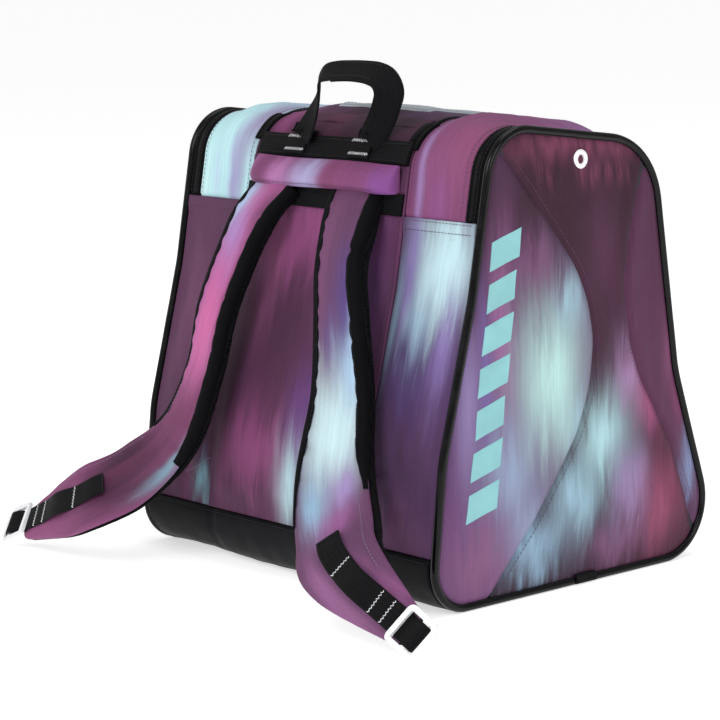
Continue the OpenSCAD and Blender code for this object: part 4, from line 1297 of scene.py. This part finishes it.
def handle():
    """The carry handle, its folded grip and the roots that lead into its feet."""
    pts = spline_points(HANDLE, 2.2)
    c, hint, half = pts[:, :3], pts[:, 3:6], pts[:, 6]
    _, w, n = frames(c, hint)
    ribbon("handle_webbing", c, w, n, half, 2.6, "handle", replaces=("carry_handle",), cup=0.8)
    # A second layer folded along the grip, and two short lengths that carry the ends into the tacked feet.
    m = (c[:, 2] > 451) & (c[:, 0] > 8) & (c[:, 0] < 66)
    for k in (-1, 1):
        THREADS.add("handle", "black", c[m] + w[m] * k * 8.2 + n[m] * 1.9 * FACE, n[m] * FACE, 3.0, 1.3,
                    0.3, 0.1)
    g = c[m] - n[m] * FACE * 2.2
    ribbon("handle_grip_fold", g, w[m], n[m], half[m] * 0.98, 2.2, "handle")
    for tag, x, a, b in (("left", -FOOT_X, 0, 3), ("right", FOOT_X, -1, -4)):
        foot = on_shell(x + np.array([0.0, 0.15, 0.5]) * (c[a, 0] - x),
                        np.array([OUTLINE.back(z) for z in (392, 395.5, 399)]), 3.4)
        q = spline_points([*foot, 0.5 * (foot[-1] + c[b]), c[b]], 1.2)
        _, ww, nn = frames(q, np.tile([1.0, 0, 0], (len(q), 1)))
        ribbon(f"handle_root_{tag}", q, ww, nn, 12.6, 2.2, "shell",
               blend=("shell", "handle", (0, -0.1150, 0.3925), (0, -0.1150, 0.4020)))


FACE = -1.0
handle()

# ---------------------------------------------------------------- shoulder straps
STRAP_KEYS = np.array([
    [[87, -136, 353], [27, -137, 353]], [[93, -156, 328], [38, -158, 328]],
                       [[98, -174, 290], [48, -176, 290]],
    [[114, -184, 240], [62, -191, 240]], [[127, -188, 185], [71, -204, 180]],
                       [[146, -206, 134], [80, -230, 112]],
    [[180, -233, 102], [110, -256, 68]], [[220, -258, 77], [158, -284, 43]],
                       [[283, -264, 33], [263, -284, 13]]], float)


def key_spline(u, side):
    """One edge of the strap at stations u, smooth through its keys."""
    k = STRAP_KEYS[:, side]
    last = len(k) - 1
    i = np.minimum(np.floor(u).astype(int), last - 1)
    t = (u - i)[:, None]
    p0, p1, p2, p3 = (k[np.clip(i + d, 0, last)] for d in (-1, 0, 1, 2))
    curve = (2 * p0 - 5 * p1 + 4 * p2 - p3) * t ** 2 + (3 * p1 - p0 - 3 * p2 + p3) * t ** 3
    return 0.5 * (2 * p1 + (p2 - p0) * t + curve)


def unit_rows(v):
    """Each row at length one."""
    return v / np.maximum(np.linalg.norm(v, axis=-1, keepdims=True), 1e-9)


class Strap:
    """The right strap's frame along u, its station number from the yoke."""

    def __init__(self):
        u = np.linspace(0, 8, 161)
        o, i = key_spline(u, 0), key_spline(u, 1)
        c = (o + i) / 2
        t = unit_rows(np.gradient(c, axis=0))
        n = unit_rows(np.cross(t, o - i))
        n = unit_rows(blurred_rows(n, 4))
        w = unit_rows(np.cross(n, t))
        self.u, self.c, self.t, self.n, self.w = u, c, t, n, w
        self.half = np.linalg.norm(o - i, axis=1) / 2
        self.run = np.r_[0, np.cumsum(np.linalg.norm(np.diff(c, axis=0), axis=1))]

    def at(self, u):
        g = lambda a: np.stack([np.interp(u, self.u, a[:, k]) for k in range(3)], -1)
        above = np.outer(np.minimum(u, 0) * 28, self.t[0])
        along, out, across = (unit_rows(g(v)) for v in (self.t, self.n, self.w))
        return g(self.c) + above, along, out, across, np.interp(u, self.u, self.half)


def blurred_rows(v, k):
    """Rows smoothed over k neighbours on each side."""
    w = np.hanning(2 * k + 3)[1:-1]
    w /= w.sum()
    pad = np.concatenate([np.repeat(v[:1], k, 0), v, np.repeat(v[-1:], k, 0)])
    return np.stack([np.convolve(pad[:, i], w, "valid") for i in range(3)], 1)


STRAP_LINE = Strap()
STATIONS = np.r_[-0.25, -0.12, 0, 0.03, 0.08, np.linspace(0.15, 7.7, 118), 7.8, 7.88, 7.94, 7.98, 8.0]


def strap_shape(seed):
    """Half width, thickness and crown of the strap at each station of STATIONS."""
    c, t, n, w, half = STRAP_LINE.at(STATIONS)
    run = np.interp(STATIONS, STRAP_LINE.u, STRAP_LINE.run) + 28 * np.minimum(STATIONS, 0)
    tip = np.sqrt(np.maximum(0, 1 - np.clip((STATIONS - 7.82) / 0.19, 0, 1) ** 2.6))
    scallop = 0.5 * np.sin(run / 7.0 + seed) + 0.35 * np.sin(run / 3.7 + 2 * seed)
    return c, t, n, w, half * (0.84 + 0.16 * tip) + scallop * 0.12, run, 0.6 + 0.4 * tip


def mirror_points(p, sg):
    """Points moved to the side sg of the bag."""
    return p * np.array([sg, 1.0, 1.0])


def strap(side, sg, seed):
    """Padded face, mesh, binding and stitches of one strap."""
    c, _, n, w, half, run, thin = strap_shape(seed)
    body = f"{side}_strap"
    m = 72
    th = np.linspace(0, 2 * math.pi, m + 1)[:-1] + math.pi / m
    cw = np.sign(np.cos(th)) * np.abs(np.cos(th)) ** 0.52
    cn = np.sign(np.sin(th)) * np.abs(np.sin(th)) ** 0.62
    U = np.repeat(STATIONS[:, None], m, 1)
    R = np.repeat(run[:, None], m, 1)
    A = cw[None] * half[:, None]
    crown = 1.9 * (1 - cw[None] ** 2)
    groove = -2.6 * bell(A, 1.5, 1.7) * smooth((4.9 - U) / 0.5)
    puck = (0.45 * np.sin(R / 2.6 + seed) + 0.35 * np.sin(R / 4.3)) * bell(half[:, None] - np.abs(A), 8.5, 4)
    wave = 0.8 * ripple(A, R, 46, 150 + seed, 1.2) + 0.35 * ripple(A, R, 18, 160 + seed)
    bends = bell(U, 5.05, 0.05) + bell(U, 5.35, 0.05) + 0.8 * bell(U, 4.7, 0.05)
    elbow = -1.5 * bends * smooth((6 - A) / 30)
    up_side = np.clip(cn[None], 0, 1)
    relief = crown + groove + puck + wave * 0.6 + elbow
    N = -3.9 + (4.1 * cn[None] + relief * up_side) * thin[:, None]
    N = np.maximum(N, -8.0)
    rings = c[:, None] + w[:, None] * A[..., None] + n[:, None] * N[..., None]
    o = sweep(f"strap_cloth_{side}", mirror_points(rings, sg), body, ("print",),
              np.stack([A, R], -1), STRAP[side], (A.ravel(), U.ravel(), 0.26),
              replaces=(f"strap_pad_{side}",))

    # Mesh side and underside. The right strap's mesh side stands deeper and stays deep through the elbow:
    # partly the real mesh, partly a dark stand-in for the shade between strap and bag.
    cw2 = np.sign(np.cos(th)) * np.abs(np.cos(th)) ** 0.34
    low = smooth((STATIONS - (6.7 if sg > 0 else 4.6)) / 1.0)[:, None]
    deep = (4.2 if sg > 0 else 1.8) * smooth(STATIONS / 1.3)[:, None] * (1 - low)
    A2 = cw2[None] * (half[:, None] + 0.6 - 2.6 * low)
    under = np.clip(-cn[None], 0, 1)
    N2 = -9.6 - deep + (3.4 + deep) * cn[None] * thin[:, None]
    N2 = N2 + under * (0.25 * ripple(A2, R, 14, 170 + seed) - 0.6 * (1 - cw2[None] ** 2))
    rings = c[:, None] + w[:, None] * A2[..., None] + n[:, None] * N2[..., None]
    sweep(f"strap_mesh_cloth_{side}", mirror_points(rings, sg), body, ("mesh",),
          np.stack([A2 + 6 * np.sin(th)[None], R], -1), replaces=(f"strap_mesh_{side}",))

    # Binding tape folded round both edges.
    for e, tag in ((1, "outer"), (-1, "inner")):
        prof = np.array([(-8.6, 0.35), (-7.6, 0.9), (-4.6, 0.75), (-1.2, -0.6), (0.3, -2.6), (0.9, -5.4),
                         (0.7, -8.4),
                         (-0.4, -9.6), (-1.2, -8.8), (-0.3, -7.6), (-0.1, -5.2), (-1.0, -2.9),
                         (-2.6, -1.4), (-7.6, -0.6)])
        slim = (1 - 0.8 * smooth((STATIONS - 4.6) / 1.1))[:, None]
        folded = np.where(prof[:, 0] < -1, -1 + (prof[:, 0] + 1)[None] * slim, prof[:, 0][None] * slim)
        P = folded + half[:, None]
        scallop = 0.2 * np.sin(run / 3.1 + seed)[:, None] * (prof[:, 0][None] < -2)
        Nn = (prof[:, 1][None] * (0.3 + 0.7 * slim) + scallop) * thin[:, None] + 0.35
        k = STATIONS < (5.7 if sg > 0 else 5.2)
        rings = (c[:, None] + w[:, None] * (e * P)[..., None] + n[:, None] * Nn[..., None])[k]
        cl = np.stack([np.broadcast_to(np.cumsum(np.r_[0,
                                                       np.linalg.norm(np.diff(prof, axis=0),
                                                           axis=1)])[None], P.shape),
                       np.repeat(run[:, None], len(prof), 1)], -1)[k]
        sweep(f"strap_binding_{tag}_{side}", mirror_points(rings, sg), body, ("binding",), cl)
        k = STATIONS < 4.7
        line = (c + w * (e * (half - 6.6))[:, None] + n * 1.25)[k]
        THREADS.add(body, "black", mirror_points(line, sg), mirror_points(n[k], sg), 2.6, 1.3, 0.28, 0.0)
    line = c + w * (half - 8.6)[:, None] + n * 0.95
    k = (STATIONS > 3.4) & (STATIONS < 7.5)
    THREADS.add(body, "grey", mirror_points(line[k], sg), mirror_points(n[k], sg), 2.4, 1.4, 0.24, 0.0)


# The middle of the right hook's bar, and the directions along, across and out of the strap's tip.
BAR = np.array([290.714, -278.362, 18.730])
TIP_ALONG = np.array([0.91672, -0.01288, -0.39932])
TIP_ACROSS = np.array([0.32439, 0.60744, 0.72511])
TIP_OUT = np.array([0.23322, -0.79426, 0.56103])


def webbing(side, sg):
    """Webbing on the face of a strap, with its tacks and its loop round the hook's bar."""
    body = f"{side}_strap"
    u = np.linspace(6.46, 8.0, 62)
    c, t, n, w, _ = STRAP_LINE.at(u)
    run = np.r_[0, np.cumsum(np.linalg.norm(np.diff(c, axis=0), axis=1))]
    near = lambda p: float(run[int(np.argmin(np.linalg.norm(c - np.array(p, float), axis=1)))])
    tacks = [near((192, -267, 58)), near((239, -273, 38)), near((252, -275, 32))]
    free = 2.6 * smooth((tacks[0] - run) / 26) ** 1.5
    bow = 3.2 * np.sin(math.pi * np.clip((run - tacks[0] - 3) / (tacks[1] - tacks[0] - 6), 0, 1)) ** 1.4
    press = -0.5 * sum(bell(run, k, 3.0) for k in tacks)
    lift = 2.9 + free + bow + press
    mid = c + n * lift[:, None]
    m = mirror_points(mid, sg)
    ribbon(f"strap_web_{side}", m, mirror_points(w, sg), mirror_points(n, sg), 12.5, 2.0, body,
           replaces=(f"strap_webbing_{side}",))
    end = np.array([mid[0] + w[0] * k + n[0] * 0.2 for k in np.linspace(-12, 12, 20)])
    THREADS.add(body, "black", mirror_points(end, sg), mirror_points(np.repeat(n[:1], 20, 0), sg), 1.6,
                0.4, 0.5, 1.1)
    for run_k in tacks:
        j = int(np.argmin(np.abs(run - run_k)))
        zig = np.arange(0, 15)
        a = -11.6 + zig * 23.2 / 14
        b = np.where(zig % 2, 1.2, -1.2)
        line = resample(mid[j] + w[j] * a[:, None] + t[j] * b[:, None] + n[j] * 1.15, step=0.8)
        THREADS.add(body, "white", mirror_points(line, sg),
                    mirror_points(np.repeat(n[j:j + 1], len(line), 0), sg), 2.4, 0.25,
              0.42, 0.1)

    # The loop: over the bar, round it and back under.
    r = 3.5
    arc = [(r * math.cos(k), r * math.sin(k)) for k in np.linspace(math.radians(95), math.radians(-85), 15)]
    start = mid[-1]
    rel = start - BAR
    s_x, s_n = float(rel @ TIP_ALONG), float(rel @ TIP_OUT)
    over = [(s_x + (arc[0][0] - s_x) * k, s_n + (arc[0][1] - s_n) * smooth(k))
            for k in np.linspace(0, 1, 9)[:-1]]
    under = [(arc[-1][0] + (s_x - 7 - arc[-1][0]) * k, arc[-1][1] + (s_n - 1.9 - arc[-1][1]) * smooth(k))
             for k in np.linspace(0, 1, 10)[1:]]
    q = np.array(over + arc + under)
    off = start - BAR - TIP_ALONG * s_x - TIP_OUT * s_n
    pts = BAR + q[:, :1] * TIP_ALONG + q[:, 1:] * TIP_OUT + np.outer(np.linspace(1, 0.2, len(q)), off)
    tt = unit_rows(np.gradient(pts, axis=0))
    ww = np.repeat(TIP_ACROSS[None], len(pts), 0)
    nn = unit_rows(np.cross(tt, ww)) * -1
    ribbon(f"hook_web_loop_{side}", mirror_points(pts, sg), mirror_points(ww, sg), mirror_points(nn, sg),
           12.5, 1.9, body, replaces=(f"hook_loop_{side}",))


for side, sg in SIDES:
    strap(side, sg, 3 if sg > 0 else 8)
    webbing(side, sg)

# ---------------------------------------------------------------- wings
def wing_piece(side, sg):
    """A triangular wing at the lower back seam."""
    a, b, c = np.array([103.5, 100.0]), np.array([141.0, 79.0]), np.array([103.5, 55.5])
    v = np.linspace(0, 1, 22)
    u = np.linspace(0, 1, 20)
    up_leg, low_leg = a + (b - a) * u[:, None], c + (b - c) * u[:, None]
    P = up_leg[:, None] * (1 - v)[None, :, None] + low_leg[:, None] * v[None, :, None]
    X, Z = P[..., 0], P[..., 1]
    S = np.interp(-Z, -np.linspace(40, 110, 80), [OUTLINE.back(k) for k in np.linspace(40, 110, 80)])
    lift = 3.4 + 2.6 * smooth((X - 118) / 24) + 0.3 * ripple(X, Z, 20, 181)
    outer, inner = on_shell(X, S, lift), on_shell(X, S, lift - 1.7)
    mir = np.array([sg, 1, 1])
    panel(f"wing_cloth_{side}", outer * mir, inner * mir, "shell", ("print", "binding"),
          np.stack([X, Z], -1), POD_LOW["left"], (np.full(X.shape, -150.0), Z, 20.0), (f"wing_{side}",))
    for p, q in ((a, b), (b, c)):
        k = np.linspace(0.06, 0.94, 30)[:, None]
        line = p + (q - p) * k + unit(np.array([0.0, 77.0]) + np.array([112.0, 0]) - (p + q) / 2) * 2.6
        s = np.array([OUTLINE.back(t) for t in line[:, 1]])
        nrm = OUTLINE.normal(s)
        off = 3.5 + 2.6 * smooth((line[:, 0] - 118) / 24)
        pts = on_shell(line[:, 0], s, off) * mir
        THREADS.add("shell", "grey", pts, np.c_[np.zeros(30), nrm], 2.2, 1.2, 0.26, 0.1)


for side, sg in SIDES:
    wing_piece(side, sg)

THREADS.build()

# ---------------------------------------------------------------- hard parts that keep their CAD shape
def finish_node(node, mat, bevel=0.0003, segments=2):
    """Material and rounded edges for a CAD piece that stays visible."""
    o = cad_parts[node]
    o.data.materials.clear()
    o.data.materials.append(MATERIALS[mat])
    b = o.modifiers.new("edge", "BEVEL")
    b.width, b.segments, b.limit_method, b.angle_limit = bevel, segments, "ANGLE", math.radians(35)
    b.harden_normals = False


for side, _ in SIDES:
    finish_node(f"strap_hook_{side}", "white_hook", 0.0007, 3)
    finish_node(f"end_slider_{side}", "zip_metal")
    finish_node(f"end_pull_{side}", "zip_metal")
finish_node("lid_slider", "zip_metal")
finish_node("lid_pull", "zip_metal")
finish_node("base_board", "board", bevel=0.001)

# ---------------------------------------------------------------- floor, light and camera
def stage_set():
    """A pale round floor."""
    me = bpy.data.meshes.new("floor")
    t = np.linspace(0, 2 * math.pi, 65)[:-1]
    rings = [np.stack([r * np.cos(t), r * np.sin(t), 0 * t - 0.0006], 1)
             for r in (0.4, 1.0, 3.0, 12.0, 60.0)]
    v = np.concatenate(rings).tolist()
    f = [list(range(64))]
    for k in range(4):
        f += [(k * 64 + i, k * 64 + (i + 1) % 64, (k + 1) * 64 + (i + 1) % 64,
               (k + 1) * 64 + i)[::-1] for i in range(64)]
    me.from_pydata(v, [], f)
    s = Shader("studio_floor")
    pos = s.node("ShaderNodeTexCoord").outputs["Object"]
    tone = s.noise(pos, 1.5, 3.0)
    me.materials.append(s.done(Base_Color=s.mix(tone, (0.9, 0.9, 0.9), (0.92, 0.92, 0.92)), Roughness=0.9,
                               Specular_IOR_Level=0.1, Emission_Color=(1.0, 1.0, 1.0),
                               Emission_Strength=0.6))
    o = bpy.data.objects.new("floor", me)
    bpy.context.scene.collection.objects.link(o)


def area_light(name, loc, target, size, power):
    """A square soft light aimed at a target."""
    d = bpy.data.lights.new(name, "AREA")
    d.shape, d.size, d.energy = "SQUARE", size, power
    o = bpy.data.objects.new(name, d)
    o.location = loc
    o.rotation_euler = (Vector(target) - Vector(loc)).to_track_quat("-Z", "Y").to_euler()
    bpy.context.scene.collection.objects.link(o)


stage_set()
world = bpy.data.worlds.new("studio")
world.use_nodes = True
bg = world.node_tree.nodes["Background"]
bg.inputs["Color"].default_value = (1, 1, 1, 1)
bg.inputs["Strength"].default_value = 0.4
bpy.context.scene.world = world
area_light("key", (0.6, -2.7, 2.0), (0, 0, 0.2), 1.5, 40)
area_light("fill", (-2.6, -1.6, 1.4), (0, 0, 0.2), 1.8, 11)
area_light("end_side", (3.0, -0.4, 1.6), (0.1, 0, 0.2), 1.5, 27)
area_light("top", (0.2, 0.4, 3.0), (0, 0, 0.2), 1.8, 21)

AZ, EL, ROLL, DIST, LENS = 0.8531, 0.16143, -0.01568, 2.4572, 129.825
target = Vector((-0.0369, -0.0493, 0.1818))
back_dir = Vector((math.sin(AZ) * math.cos(EL), -math.cos(AZ) * math.cos(EL), math.sin(EL)))
right = (-back_dir).cross(Vector((0, 0, 1))).normalized()
up = right.cross(-back_dir)
r2 = right * math.cos(ROLL) + up * math.sin(ROLL)
u2 = up * math.cos(ROLL) - right * math.sin(ROLL)
cam = bpy.data.objects.new("camera", bpy.data.cameras.new("camera"))
cam.data.sensor_width, cam.data.lens = 36, LENS
cam.data.clip_start, cam.data.clip_end = 0.05, 60
bpy.context.scene.collection.objects.link(cam)
cam.rotation_mode = "QUATERNION"
cam.location = target + back_dir * DIST
cam.rotation_quaternion = Matrix((r2, u2, back_dir)).transposed().to_quaternion()
bpy.context.scene.camera = cam
bpy.context.scene.view_settings.view_transform = "Standard"

bpy.context.view_layer.update()
